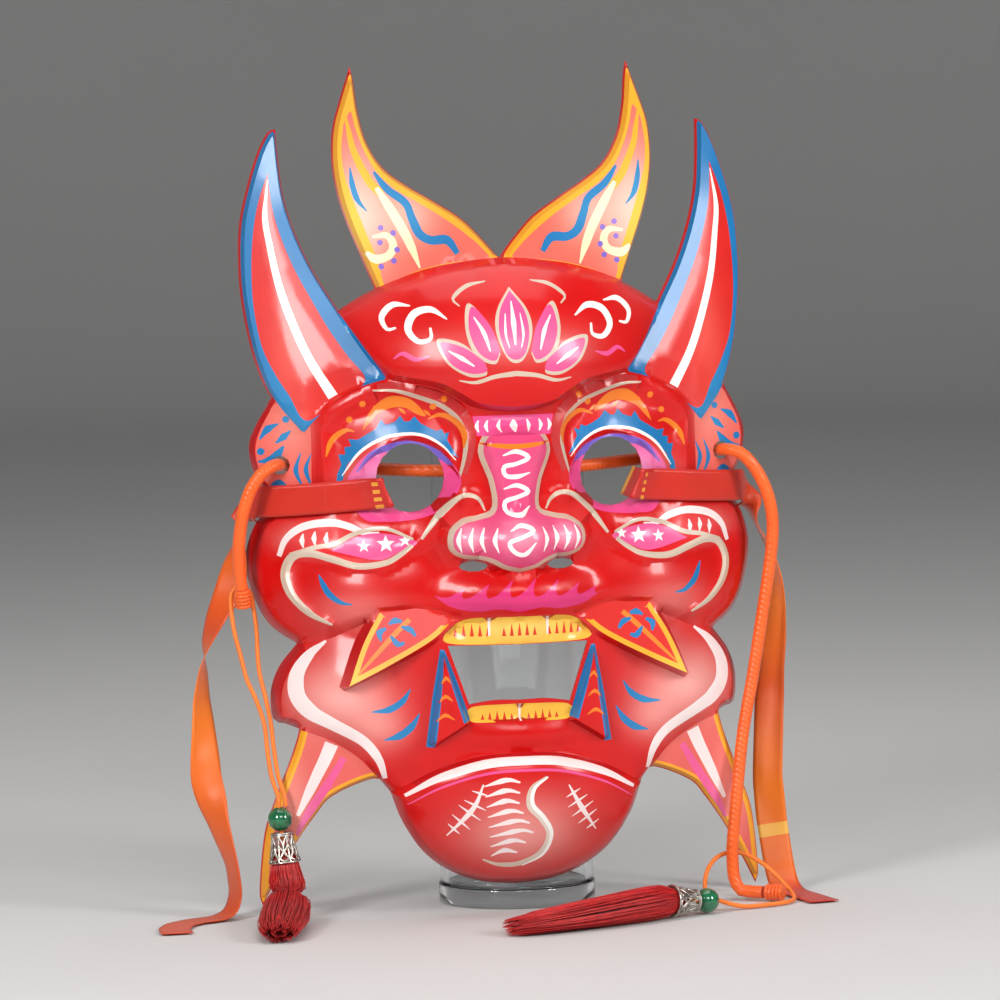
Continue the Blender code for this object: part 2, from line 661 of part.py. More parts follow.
def cap(name, centre, along, finish, collection, cutters):
    """A bell-shaped cap, pierced by two rows of openings. Its own Z points to its wide rim."""
    wall = CAP_WALL
    outside = [(CAP_TOP_R * 0.62, 0), (CAP_TOP_R * 0.95, 1.4), (CAP_TOP_R, 3.5), (5.1, 7.4),
               (CAP_RIM_R, CAP_H)]
    inside = [(CAP_RIM_R - wall, CAP_H), (5.1 - wall, 7.4), (CAP_TOP_R - wall, 3.5),
              (CAP_TOP_R * 0.95 - wall, 1.4 + wall * 0.6), (1.6, wall), (1.6, 0)]
    piece = turned(name, outside + inside, 16, finish, collection)
    for row, (height, radius, half_w, half_h) in enumerate(((4.6, 4.4, 0.95, 1.5), (8.6, 5.4, 1.3, 1.7))):
        for k in range(6):
            angle = 2 * math.pi * (k + 0.5 * row) / 6
            pierce(piece, angle, height, radius, half_w, half_h, cutters)
    return place(piece, centre, along)


def pierce(piece, angle, height, radius, half_w, half_h, cutters):
    """Cut one diamond-shaped opening through the cap's wall."""
    work = bmesh.new()
    bmesh.ops.create_cone(work, cap_ends=True, segments=4, radius1=MM, radius2=MM, depth=4 * MM)
    bmesh.ops.scale(work, vec=(half_h, half_w, 1), verts=work.verts)
    bmesh.ops.rotate(work, cent=(0, 0, 0), matrix=Matrix.Rotation(math.pi / 2, 3, "Y"), verts=work.verts)
    bmesh.ops.translate(work, vec=(radius * MM, 0, height * MM), verts=work.verts)
    bmesh.ops.rotate(work, cent=(0, 0, 0), matrix=Matrix.Rotation(angle, 3, "Z"), verts=work.verts)
    mesh = bpy.data.meshes.new("cutter")
    work.to_mesh(mesh)
    work.free()
    cutter = bpy.data.objects.new("cutter", mesh)
    cutters.objects.link(cutter)
    cut = piece.modifiers.new("pierce", "BOOLEAN")
    cut.operation = "DIFFERENCE"
    cut.object = cutter
    bpy.context.view_layer.update()
    evaluated = piece.evaluated_get(bpy.context.evaluated_depsgraph_get())
    result = bpy.data.meshes.new_from_object(evaluated)
    piece.modifiers.clear()
    piece.data = result
    bpy.data.objects.remove(cutter)


def tassel(name, sections, finish, collection):
    """A tassel lofted through sections: route point, half width, half height and direction of its width."""
    sides = 14
    points = []
    faces = []
    for index, (centre, across, upward, half_w, half_h) in enumerate(sections):
        for k in range(sides):
            angle = 2 * math.pi * k / sides
            lock = 1.0 if k % 2 else 1 - 0.13 * min(1.0, index / 2)
            offset = (np.array(across) * half_w * math.cos(angle)
                      + np.array(upward) * half_h * math.sin(angle)) * lock
            points.append(model_point(*(np.array(centre) + offset)))
    for index in range(len(sections) - 1):
        for k in range(sides):
            a = index * sides + k
            b = index * sides + (k + 1) % sides
            faces.append((a, b, b + sides, a + sides))
    last = (len(sections) - 1) * sides
    faces.append(tuple(range(sides)))
    faces.append(tuple(range(last, last + sides)))
    piece = add_mesh(name, points, faces, finish, collection)
    close_and_orient(piece)
    return piece


def unit(vector):
    vector = np.array(vector, float)
    return vector / np.linalg.norm(vector)


def strand_route(bead_centre, along, strands):
    """A thin cord from inside the cap, up through the bead, round its loop and back to the bead."""
    centre = np.array(bead_centre, float)
    inside = [centre + unit(along) * reach for reach in (8.4, 4, 0, -5)]
    return [tuple(point) for point in inside] + strands


def tassel_sections(bead_centre, along, path):
    """Cross-sections down a tassel: its neck inside the cap, then the path's own centres and sizes."""
    start = np.array(bead_centre, float) + unit(along) * (BEAD_R + GAP)
    centres = [start + unit(along) * reach for reach in (7.2, CAP_H)]
    sizes = [(3.2, 3.2), (4.7, 4.7)]
    centres += [np.array(row[:3], float) for row in path]
    sizes += [row[3:] for row in path]
    result = []
    for index, (centre, (half_w, half_h)) in enumerate(zip(centres, sizes)):
        low = centres[max(0, index - 1)]
        high = centres[min(len(centres) - 1, index + 1)]
        run = unit(high - low)
        across = unit(np.cross(run, (0, 1, 0.001)) if abs(run[1]) < 0.7 else np.cross(run, (0, 0.3, -1)))
        upward = unit(np.cross(across, run))
        result.append((centre, across, upward, half_w, half_h))
    return result


# Tassels below their caps: centre as (x, z, depth), half width and half height
LEFT_TASSEL = [(-87.3, 17.5, 16.6, 5.8, 5.6), (-87.2, 12.4, 19.4, 7, 6), (-88, 8.4, 25, 8, 5.8),
               (-89.4, 6.2, 33, 8.8, 5.4), (-91.6, 5.2, 44, 9.2, 4.8), (-94, 4.6, 56, 8.6, 4.2),
               (-96, 4, 67, 7.6, 3.6), (-97.2, 3.4, 75, 6, 3)]
RIGHT_TASSEL = [(48.2, 6.6, 58.2, 6, 5.8), (42, 6.4, 61, 7.6, 6), (32, 6, 65, 9, 5.7),
                (20, 5.4, 70, 9.8, 5.1),
                (8, 4.8, 75, 9.6, 4.5), (-4, 4.1, 79.6, 8.2, 3.8), (-14, 3.3, 83, 5.6, 3)]


def ribbon_on_cheek(side):
    """A ribbon from behind the eye hole, over the hole's outer rim and cheek, and round the side edge."""
    rows = [(45.8, 160.6, 14, 0.5), (46.3, 160.4, 20, 0.5), (46.8, 160.2, 26, 0.5), (47, 160.1, 30.6, 0.5)]
    for x in (50.4, 54, 58, 62, 66, 70, 74, 78, 82, 86, 89):
        z = 159.6 - 0.08 * (x - 50)
        across = np.linspace(-RIBBON_W / 2, RIBBON_W / 2, 7)
        near = [face_depth(np.full(7, x + aside), z + across).max() for aside in (-2, 0, 2)]
        rows.append((x, z, max(near) + (2.2 if x < 53 else 1.4), max(0, 0.4 - 0.08 * (x - 50))))
    last = rows[-1]
    rows += [(92.6, 156.4, last[2] - 3.4, 0), (94.2, 155.4, last[2] - 8.4, 0), (95.4, 152, -6, 0)]
    points = [(side * x, z, depth) for x, z, depth, _ in rows]
    widths = [(side * lean, 1.0, 0.0) for _, _, _, lean in rows]
    return points, widths


def ribbon(name, side, hanging, ending, finish, collection):
    """A flat ribbon lofted along its centre line, with its width turned as the tables say."""
    centres, widths = ribbon_on_cheek(side)
    centres = centres + [row[:3] for row in hanging + ending]
    widths = widths + [(math.cos(math.radians(row[3])), 0, math.sin(math.radians(row[3])))
                       for row in hanging + ending]
    centres = np.array(centres, float)
    widths = np.array(widths, float)
    count = 36
    travelled = np.concatenate([[0], np.cumsum(np.linalg.norm(np.diff(centres, axis=0), axis=1))])
    wanted = np.unique(np.concatenate([travelled, np.linspace(0, travelled[-1], count)]))
    keep = np.concatenate([[True], np.diff(wanted) > 2.2])
    wanted = wanted[keep]
    points = []
    for along in wanted:
        centre = np.array([np.interp(along, travelled, centres[:, k]) for k in range(3)])
        ahead = np.array([np.interp(min(along + 1, travelled[-1]),
                                    travelled, centres[:, k]) for k in range(3)])
        behind = np.array([np.interp(max(along - 1, 0), travelled, centres[:, k]) for k in range(3)])
        run = unit(ahead - behind)
        width = np.array([np.interp(along, travelled, widths[:, k]) for k in range(3)])
        width = unit(width - run * np.dot(width, run))
        normal = np.cross(run, width)
        for across, through in ((-1, -1), (1, -1), (1, 1), (-1, 1)):
            corner = centre + width * across * RIBBON_W / 2 + normal * through * RIBBON_T / 2
            points.append(model_point(*corner))
    faces = []
    for row in range(len(wanted) - 1):
        for k in range(4):
            a = 4 * row + k
            b = 4 * row + (k + 1) % 4
            faces += [(a, b, b + 4), (a, b + 4, a + 4)]
    last = 4 * (len(wanted) - 1)
    faces += [(0, 1, 2, 3), (last, last + 1, last + 2, last + 3)]
    piece = add_mesh(name, points, faces, finish, collection)
    close_and_orient(piece)
    return piece


def clear_scene():
    for item in list(bpy.data.objects):
        bpy.data.objects.remove(item)


def build():
    clear_scene()
    parts = bpy.data.collections.new("nuo_mask")
    cutters = bpy.data.collections.new("cutters")
    bpy.context.scene.collection.children.link(parts)
    bpy.context.scene.collection.children.link(cutters)
    red = material("mask_red", (0.75, 0.02, 0.02), 0.3)
    clear = material("clear_acrylic", (0.95, 0.96, 0.97), 0.05, alpha=0.3)
    orange = material("satin_orange", (0.9, 0.2, 0.02), 0.4)
    ribbon_orange = material("ribbon_orange", (0.9, 0.3, 0.04), 0.4)
    green = material("bead_green", (0.05, 0.35, 0.15), 0.25)
    silver = material("cap_silver", (0.7, 0.7, 0.7), 0.3, metallic=1.0)
    silk = material("tassel_red", (0.6, 0.01, 0.02), 0.5)

    mask_sheet(red, parts)

    turned("stand_base", [(0, 0), (FOOT_R - 0.5, 0), (FOOT_R, 0.5), (FOOT_R, FOOT_H - 0.5),
                          (FOOT_R - 0.5, FOOT_H), (0, FOOT_H)], 40, clear, parts)
    low = FOOT_H + GAP
    inner = TUBE_R - TUBE_WALL
    turned("stand_tube", [(inner, low), (TUBE_R, low), (TUBE_R, TUBE_TOP), (inner, TUBE_TOP)],
           40, clear, parts)

    ear_route = EAR_CORD_LEFT_END + EAR_CORD_BEHIND + EAR_CORD_RIGHT_END
    tube("ear_cord", ear_route, CORD_D, orange, parts)
    drawn = cord_points(ear_route, CORD_D)
    for name, end, before in (("knot_left", drawn[0], drawn[1]), ("knot_right", drawn[-1], drawn[-2])):
        along = unit(end - before)
        centre = end + along * (KNOT_H / 2 + GAP)
        if name == "knot_right":
            along = unit((along[0], 0, along[2]))
            centre = np.array((end[0], KNOT_R + GAP, end[2])) + along * (KNOT_H / 2 + 4 * GAP)
        knot(name, centre, along, orange, parts)

    for name, side, hanging, ending in (("ribbon_left", -1, LEFT_RIBBON, LEFT_RIBBON_END),
                                        ("ribbon_right", 1, RIGHT_RIBBON, RIGHT_RIBBON_END)):
        ribbon(name, side, hanging, ending, ribbon_orange, parts)

    for side, centre, along, strands, path in (
            ("left", LEFT_BEAD, LEFT_HANG, LEFT_STRANDS, LEFT_TASSEL),
            ("right", RIGHT_BEAD, RIGHT_LIE, RIGHT_STRANDS, RIGHT_TASSEL)):
        tube("loop_cord_" + side, strand_route(centre, along, strands), STRAND_D, orange, parts)
        bead("bead_" + side, centre, along, green, parts)
        top = np.array(centre, float) + unit(along) * (BEAD_R + GAP)
        cap("cap_" + side, top, along, silver, parts, cutters)
        tassel("tassel_" + side, tassel_sections(centre, along, path), silk, parts)


build()
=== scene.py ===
import math

import bmesh
import bpy
import numpy as np
from mathutils import Matrix, Vector
from mathutils.geometry import delaunay_2d_cdt


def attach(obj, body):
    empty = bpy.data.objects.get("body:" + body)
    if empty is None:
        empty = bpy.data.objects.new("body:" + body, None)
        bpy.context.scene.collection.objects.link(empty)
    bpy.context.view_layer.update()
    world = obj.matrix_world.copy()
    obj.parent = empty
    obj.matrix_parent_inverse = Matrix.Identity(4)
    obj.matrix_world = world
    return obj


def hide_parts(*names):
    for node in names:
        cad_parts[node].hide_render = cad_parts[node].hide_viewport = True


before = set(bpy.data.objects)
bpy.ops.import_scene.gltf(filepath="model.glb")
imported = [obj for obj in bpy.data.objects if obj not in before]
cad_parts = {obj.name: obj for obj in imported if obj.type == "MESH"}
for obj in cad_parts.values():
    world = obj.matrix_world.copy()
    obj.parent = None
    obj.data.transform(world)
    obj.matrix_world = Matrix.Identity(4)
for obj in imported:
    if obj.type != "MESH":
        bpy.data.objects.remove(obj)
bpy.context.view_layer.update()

# The nuo mask is one formed sheet with its paint printed on it. It has a frame of its own: x to the right
# from its centre plane, z up from the floor, depth forward from the plane of the ears, all in millimetres.
MM = 0.001
GAP = 0.3
SHEET = 1.2
MASK_X = -5.0
EAR_PLANE = 13.9
EDGE = -0.6
FORM_STEP = 1.5
LINE_STEP = 1.6
LATTICE = 1.9
# How far the lattice and the grid for the sheet's back reach; a lattice row's height, as a share of its step
LATTICE_X = 101
LATTICE_Z = 322
ROW_SHARE = 0.866
GRID_X = 102
GRID_Z = 324
# A depth that stands for no sheet, and how near two points of the sheet are when they become one
FAR = 1000.0
MERGE = 0.03

# The photograph's camera, and how its pixels fall on the mask
PHOTO_CENTRE_X = 496.5
PHOTO_MIDDLE_X = 512
PHOTO_MIDDLE_Y = 480
PHOTO_FLOOR_Y = 902.0
MM_PER_PIXEL_X = 0.3848
MM_PER_PIXEL_Z = 0.38
PHOTO_LEAN = 0.0244
SIDE_VIEW = 0.41
PHOTO_TILT = 0.0093
HEIGHT_VIEW = 0.1

# The cords, beads, caps and tassels
CORD_D = 4.8
STRAND_D = 1.7
EAR_HOLE = (84.0, 170.0, 3.5, 3.5)
KNOT_R = 3.1
KNOT_H = 7.0
BEAD_R = 4.6
BEAD_BORE = 1.3
CAP_H = 11.5
CAP_TOP_R = 4.3
CAP_RIM_R = 6.2
CAP_WALL = 0.9
# A tassel's core, as shares of its length and its width
CORE_REACH = 0.82
CORE_WIDTH = 0.76

# The ribbons; a ribbon's stitched edge folds out of its eye hole at the fold
RIBBON_W = 12.0
RIBBON_SATIN = 0.3
RIBBON_FOLD_X = 50.0

# The stand
FOOT_R = 29.8
FOOT_H = 7.0
TUBE_R = 29.2
TUBE_WALL = 3.0
TUBE_TOP = 190.0


# Outlines of the forms on the right half, as (x, z). Each run is one smooth stretch between two corners.
INNER_HORN = [
    [(0, 245), (5.5, 252), (13.3, 260.2), (23.7, 267.2), (33.8, 273.5), (42, 280.2), (47.5, 289.8),
     (50.2, 301), (51.4, 312), (52.5, 317.8)],
    [(52.5, 317.8), (56.6, 306), (59.9, 294.8), (60.7, 282.6), (59.3, 271.2), (56.4, 260.5), (51.5, 247.4),
     (46.4, 234)],
    [(46.4, 234), (34, 229), (16, 234), (0, 236)],
]
OUTER_HORN = [
    [(44.4, 201.6), (52.9, 214.4), (61.6, 229), (68.6, 241.5), (74, 254), (77.9, 267.5), (79.4, 280),
     (80.2, 295.2)],
    [(80.2, 295.2), (83, 294), (87.2, 286), (91.5, 273), (94.6, 260), (95.6, 246), (95.2, 232),
     (92.6, 214), (88.5, 200), (83.6, 191), (75.5, 181)],
    [(75.5, 181), (70.6, 186.9), (64, 193.5), (53.9, 198.8), (44.4, 201.6)],
]
DOME = [
    [(0, 245.4), (11.7, 244.4), (25.6, 242.3), (37.5, 238.7), (50, 233.4), (62, 226)],
    [(62, 226), (54, 212), (44.4, 201.6)],
    [(44.4, 201.6), (37, 200.3), (28, 198.4), (21, 194.6), (15.5, 191.3), (8, 189.6), (0, 189)],
]
EAR = [
    [(68, 196), (84, 196), (88.3, 191), (92.2, 184), (94.5, 177.4), (93.6, 169), (90.2, 161.7),
     (86.5, 157.5), (86.3, 150)],
    [(86.3, 150), (68, 150)],
    [(68, 150), (68, 196)],
]
UPPER_FACE = [
    [(0, 206), (60, 206), (71.5, 194)],
    [(71.5, 194), (71.5, 154)],
    [(71.5, 154), (87, 152.2)],
    [(87, 152.2), (91, 149.8), (94.3, 143.7), (96.4, 135), (95.8, 127), (93.2, 117.9), (90, 111.5),
     (85.8, 107), (79.3, 102.8)],
    [(79.3, 102.8), (68, 105.5), (56, 111), (44, 113), (0, 113)],
]
LOWER_FACE = [
    [(0, 118), (60, 118), (79.3, 102.8)],
    [(79.3, 102.8), (86, 93.6), (89, 84), (88.3, 74), (84.6, 72.5)],
    [(84.6, 72.5), (71.1, 68), (59.9, 61.2), (52.7, 53.6), (47.4, 47)],
    [(47.4, 47), (30, 40), (0, 40)],
]
FLAP = [
    [(47, 49), (53.3, 52), (68, 45.8), (74.6, 38.5), (82.6, 26.8), (89, 15), (94.6, 4)],
    [(94.6, 4), (95.6, 10), (93.4, 31), (89.4, 44), (82.5, 62), (79, 74)],
    [(79, 74), (60, 72), (47, 49)],
]
CHIN = [
    [(0, 61.8), (15.8, 60.6), (32.3, 55.6), (47.6, 47.2)],
    [(47.6, 47.2), (43.3, 35.8), (35.8, 24.3), (26.2, 16.5), (14, 11.6), (0, 10)],
]
TUSK = [
    [(21, 112.6), (28, 116.4), (36.4, 118.6), (44, 118), (52.4, 117.4)],
    [(52.4, 117.4), (60.2, 103.6), (67.4, 84.8)],
    [(67.4, 84.8), (48.4, 93.8), (30.5, 103.6), (21, 112.6)],
]
FANG = [
    [(28.6, 102.5), (34.9, 62.5)],
    [(34.9, 62.5), (18.7, 72.8)],
    [(18.7, 72.8), (28.6, 102.5)],
]
EYE_ALMOND = [
    [(62.4, 157), (55, 170.5), (45.5, 178.6), (34.1, 180.4), (25.4, 175), (20.6, 166)],
    [(20.6, 166), (24, 158), (30, 152.2), (38, 149.6), (48, 149.4), (62.4, 157)],
]
SOCKET = [
    [(70.5, 184), (64, 190.5), (53.9, 196), (44, 198), (30, 195.4), (20.4, 188.5), (17, 180), (18.4, 170),
     (22, 158), (30, 149), (44, 146.5), (60, 148), (68, 158), (70.5, 184)],
]
NOSE = [
    [(0, 184), (9, 182.5), (13.4, 175), (9.6, 163), (8.8, 153.5), (14, 150.8), (20, 149.6), (25, 145.5),
     (25.4, 139), (21, 135.4), (12, 134.2), (6, 131.2), (0, 129.6)],
]
UPPER_TEETH = [
    [(0, 113), (20.5, 112), (27.2, 103.6), (0, 102.2)],
]
LOWER_TEETH = [
    [(0, 80.2), (18.4, 79.2), (18.2, 73.6), (0, 73.6)],
]
MOUTH = [
    [(0, 102.2), (26.4, 102.4)],
    [(26.4, 102.4), (19, 80.2)],
    [(19, 80.2), (10, 81.6), (0, 81.4)],
]
SILVER_LINE = [
    [(14.8, 157), (20, 158), (27, 152), (34.3, 143.8), (41, 137.4), (48.8, 133.6), (58.6, 132.7),
     (67.5, 135.4), (75, 137.6), (81, 136), (83.9, 129.6), (81.8, 121.8), (75.6, 115.1), (68, 110.8)],
]

# Holes right through the sheet, as (x, z, half width, half height)
EYE_HOLE = (38.0, 165.0, 12.4, 13.0)
NOSTRIL = (16.4, 131.8, 5.2, 1.9)


def link(name, data):
    """A new object in the scene."""
    piece = bpy.data.objects.new(name, data)
    bpy.context.scene.collection.objects.link(piece)
    return piece


def link_mesh(name, points, faces, materials, slots):
    """A new object from points and faces, with a material number for each face."""
    mesh = bpy.data.meshes.new(name)
    mesh.from_pydata(points, [], faces)
    for material in materials:
        mesh.materials.append(material)
    mesh.polygons.foreach_set("material_index", np.array(slots, np.int32))
    mesh.update()
    return link(name, mesh)


def mesh_of(source):
    """The mesh that an object shows, with its modifiers."""
    bpy.context.view_layer.update()
    return bpy.data.meshes.new_from_object(source.evaluated_get(bpy.context.evaluated_depsgraph_get()))


def clean(mesh, weld, angle):
    """Turn all faces outward, after welding points nearer than a distance, and shade it with sharp edges."""
    work = bmesh.new()
    work.from_mesh(mesh)
    if weld:
        bmesh.ops.remove_doubles(work, verts=work.verts, dist=weld)
    bmesh.ops.recalc_face_normals(work, faces=work.faces)
    work.to_mesh(mesh)
    work.free()
    mesh.shade_smooth()
    mesh.set_sharp_from_angle(angle=math.radians(angle))


def dress(piece, node):
    """Put a piece in the place of its solid."""
    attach(piece, "root")
    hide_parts(node)


def set_tone(mesh, values):
    """Store how far each point takes the lighter tone, for the materials: partly airbrushed print and partly
    painted highlight on the mask, painted sheen on the ribbons.
    """
    mesh.attributes.new("airbrush_and_highlight", "FLOAT", "POINT").data.foreach_set("value", values.astype(np.float32))


def ring_faces(first, rings, around):
    """Quads between rings of points that follow one another."""
    faces = []
    for row in range(rings - 1):
        for k in range(around):
            a = first + row * around + k
            b = first + row * around + (k + 1) % around
            faces.append((a, b, b + around, a + around))
    return faces


def catmull(before, start, end, after, t):
    """A point on a Catmull-Rom curve, part of the way from start to end."""
    return 0.5 * (2 * start + (end - before) * t + (2 * before - 5 * start + 4 * end - after) * t * t
                  + (3 * start - before - 3 * end + after) * t ** 3)


def padded(points):
    """The points with one more at each end, straight on."""
    return np.vstack([2 * points[0] - points[1], points, 2 * points[-1] - points[-2]])


def run_points(run, step):
    """Points about a step apart on a Catmull-Rom curve through one run."""
    points = np.array(run, float)
    if len(points) == 2:
        count = max(1, round(np.linalg.norm(points[1] - points[0]) / step))
        share = np.arange(count)[:, None] / count
        return points[0] + (points[1] - points[0]) * share
    points = padded(points)
    result = []
    for before, start, end, after in zip(points, points[1:], points[2:], points[3:]):
        count = max(1, round(np.linalg.norm(end - start) / step))
        result += [catmull(before, start, end, after, t) for t in np.arange(count) / count]
    return np.array(result)


def outline_points(runs, step):
    """A closed outline; one that starts and ends on the centre plane is mirrored to its left half."""
    points = np.vstack([run_points(run, step) for run in runs])
    first = runs[0][0]
    last = runs[-1][-1]
    if first != last and first[0] == 0 and last[0] == 0:
        points = np.vstack([points, [last]])
        left = points[1:-1][::-1] * [-1, 1]
        return np.vstack([points, left])
    return points


def segment_gap(x, z, start, end):
    """Squared distance from each point to one straight segment."""
    dx, dz = end - start
    along = np.clip(((x - start[0]) * dx + (z - start[1]) * dz) / (dx * dx + dz * dz), 0, 1)
    return (x - start[0] - along * dx) ** 2 + (z - start[1] - along * dz) ** 2


def signed_distance(outline, x, z, reach=14.0):
    """How far each point lies inside a closed outline, negative outside, cut off at the reach."""
    low = outline.min(axis=0) - reach
    high = outline.max(axis=0) + reach
    near = (x > low[0]) & (x < high[0]) & (z > low[1]) & (z < high[1])
    px = x[near]
    pz = z[near]
    closest = np.full(px.shape, reach ** 2)
    inside = np.zeros(px.shape, bool)
    for start, end in zip(outline, np.roll(outline, -1, axis=0)):
        closest = np.minimum(closest, segment_gap(px, pz, start, end))
        dx, dz = end - start
        if dz:
            inside ^= ((start[1] > pz) != (end[1] > pz)) & (px < start[0] + dx * (pz - start[1]) / dz)
    result = np.full(x.shape, -reach)
    result[near] = np.where(inside, 1, -1) * np.sqrt(closest)
    return result


def line_distance(line, x, z, reach=8.0):
    """Distance to an open line, cut off at the reach."""
    closest = np.full(x.shape, reach ** 2)
    for start, end in zip(line, line[1:]):
        closest = np.minimum(closest, segment_gap(x, z, start, end))
    return np.sqrt(closest)


FORMS = {
    name: outline_points(runs, FORM_STEP)
    for name, runs in {
        "inner_horn": INNER_HORN, "outer_horn": OUTER_HORN, "dome": DOME, "ear": EAR,
        "upper_face": UPPER_FACE, "lower_face": LOWER_FACE, "flap": FLAP, "chin": CHIN, "tusk": TUSK,
        "fang": FANG, "eye_almond": EYE_ALMOND, "socket": SOCKET, "nose": NOSE,
        "upper_teeth": UPPER_TEETH, "lower_teeth": LOWER_TEETH, "mouth": MOUTH,
    }.items()
}
SILVER = run_points(SILVER_LINE[0], FORM_STEP)


def oval(x, z, centre_x, centre_z, half_x, half_z):
    """1 at an oval's centre, 0 at its edge, negative outside."""
    return 1 - ((x - centre_x) / half_x) ** 2 - ((z - centre_z) / half_z) ** 2


def bump(x, z, *place):
    """A soft round hump, 1 at its centre and 0 at its edge."""
    return np.clip(oval(x, z, *place), 0, 1) ** 1.5


def ball(x, z, centre_x, centre_z, half_x, half_z, foot, height):
    """Half of an ellipsoid standing on its foot depth, and nothing outside it."""
    inside = oval(x, z, centre_x, centre_z, half_x, half_z)
    return np.where(inside > 0, foot + height * np.sqrt(np.clip(inside, 0, 1)), -100)


def ridge(distance, half_width):
    return np.clip(1 - (distance / half_width) ** 2, 0, 1) ** 2


def step_up(inside, run):
    """0 at an outline and 1 a run inside it, with a soft foot and shoulder."""
    t = np.clip(inside / run, 0, 1)
    return t * t * (3 - 2 * t)


def rounded(inside, run):
    """0 at an outline and 1 a run inside it, as a quarter circle rises."""
    t = np.clip(inside / run, 0, 1)
    return np.sqrt(1 - (1 - t) ** 2)


def plate(depth, inside, top, drop, run, profile=step_up):
    """A raised form: its wall climbs from what lies below, or from a drop under its top."""
    foot = np.maximum(depth, top - drop)
    return np.where(inside > EDGE, foot + (top - foot) * profile(inside, run), depth)


def face_depth(x, z):
    """Depth of the sheet's front, in millimetres forward of the ear plane."""
    x = np.abs(x)
    inside = {name: signed_distance(outline, x, z) for name, outline in FORMS.items()}
    base = 36 - 0.0045 * np.maximum(z - 175, 0) ** 2 - 0.0006 * np.maximum(100 - z, 0) ** 2 - 0.004 * x * x
    base = base - 0.012 * np.maximum(47 - z, 0) ** 2
    depth = base - 6
    depth = plate(depth, inside["ear"], 13 - 0.54 * (x - 71.5), 2.5, 1.6)
    flap_top = 31.5 - 0.28 * x + 0.065 * z
    depth = np.where(inside["flap"] > EDGE, flap_top - 3 * (1 - step_up(inside["flap"], 1.6)), depth)
    jowl = base + 6 * bump(x, z, 68, 84, 26, 24)
    depth = plate(depth, inside["lower_face"], jowl, 6, 5, rounded)
    cheek = base + 7 * bump(x, z, 62, 122, 34, 22) + 2 * bump(x, z, 74, 144, 16, 10)
    depth = plate(depth, inside["upper_face"], cheek, 6, 5, rounded)
    depth = eyes(depth, inside, x, z)
    depth = nose_and_lips(depth, inside, x, z)
    depth = plate(depth, inside["chin"], 44 - 0.0075 * x * x - 0.0135 * (z - 50) ** 2, 6, 5, rounded)
    depth = plate(depth, inside["fang"], base + 4, 5, 1.6)
    depth = plate(depth, inside["tusk"], 64.8 - 0.13 * x - 0.25 * z, 30, 2)
    depth = plate(depth, inside["inner_horn"], 47.7 - 0.1 * x - 0.13 * z, 5.5, 1.6)
    dome = 46 - 0.0079 * x * x - 0.0152 * (z - 205) ** 2
    depth = plate(depth, inside["dome"], dome, 6, 3, rounded)
    crown = 1.5 * np.clip(inside["outer_horn"] / 12, 0, 1) * np.clip((292 - z) / 30, 0, 1)
    return plate(depth, inside["outer_horn"], 74 - 0.437 * x - 0.156 * z + crown, 5.5, 1.6)


def eyes(depth, inside, x, z):
    """Sunk sockets with a raised rim, a bulging lid and a flatter eye around each eye hole."""
    depth = depth - 3 * step_up(inside["socket"], 6)
    depth = depth + 1.6 * ridge(inside["socket"], 2.4) * (z > 150) * (x < 50)
    depth = depth + 4 * bump(x, z, 41, 170, 27, 21)
    return depth - 2.6 * step_up(inside["eye_almond"], 1.6)


def nose_and_lips(depth, inside, x, z):
    """The nose, the ridges that run from it over the cheeks, both lips and the rows of teeth."""
    depth = depth + 2 * ridge(line_distance(SILVER, x, z), 3)
    depth = depth + 8 * bump(x, z, 0, 121, 36, 13)
    depth = depth + 4.5 * step_up(inside["nose"], 3)
    depth = np.maximum(depth, ball(x, z, 0, 141, 17, 13, 33, 17))
    depth = np.maximum(depth, ball(x, z, 17, 142, 10, 8.5, 31, 12.5))
    upper_gap = ridge(x - 11, 1.6)
    upper = 38 - 0.012 * x * x - 1.6 * upper_gap
    teeth = inside["upper_teeth"]
    depth = np.where(teeth > 0, depth + (upper - depth) * step_up(teeth, 1.2), depth)
    depth = depth + 2.5 * bump(x, z, 0, 68, 22, 8)
    lower = 34.5 - 0.006 * x * x - 1.6 * ridge(x, 1.6)
    teeth = inside["lower_teeth"]
    return np.where(teeth > 0, depth + (lower - depth) * step_up(teeth, 1.2), depth)


def ellipse(hole, count):
    centre_x, centre_z, half_x, half_z = hole
    turns = np.arange(count) * 2 * math.pi / count
    return np.column_stack([centre_x + half_x * np.cos(turns), centre_z + half_z * np.sin(turns)])


def both_sides(outline):
    return [outline, outline * [-1, 1]]


def shell_outlines(step):
    """The outlines whose union is the sheet."""
    middle = [DOME, UPPER_FACE, LOWER_FACE, CHIN]
    sides = [INNER_HORN, OUTER_HORN, EAR, FLAP]
    result = [outline_points(runs, step) for runs in middle]
    for runs in sides:
        result += both_sides(outline_points(runs, step))
    return result


def hole_outlines():
    result = [outline_points(MOUTH, 4)]
    for hole, count in ((EYE_HOLE, 20), (EAR_HOLE, 10), (NOSTRIL, 10)):
        result += both_sides(ellipse(hole, count))
    return result


def each_unit(vectors):
    return vectors / np.linalg.norm(vectors, axis=1)[:, None]


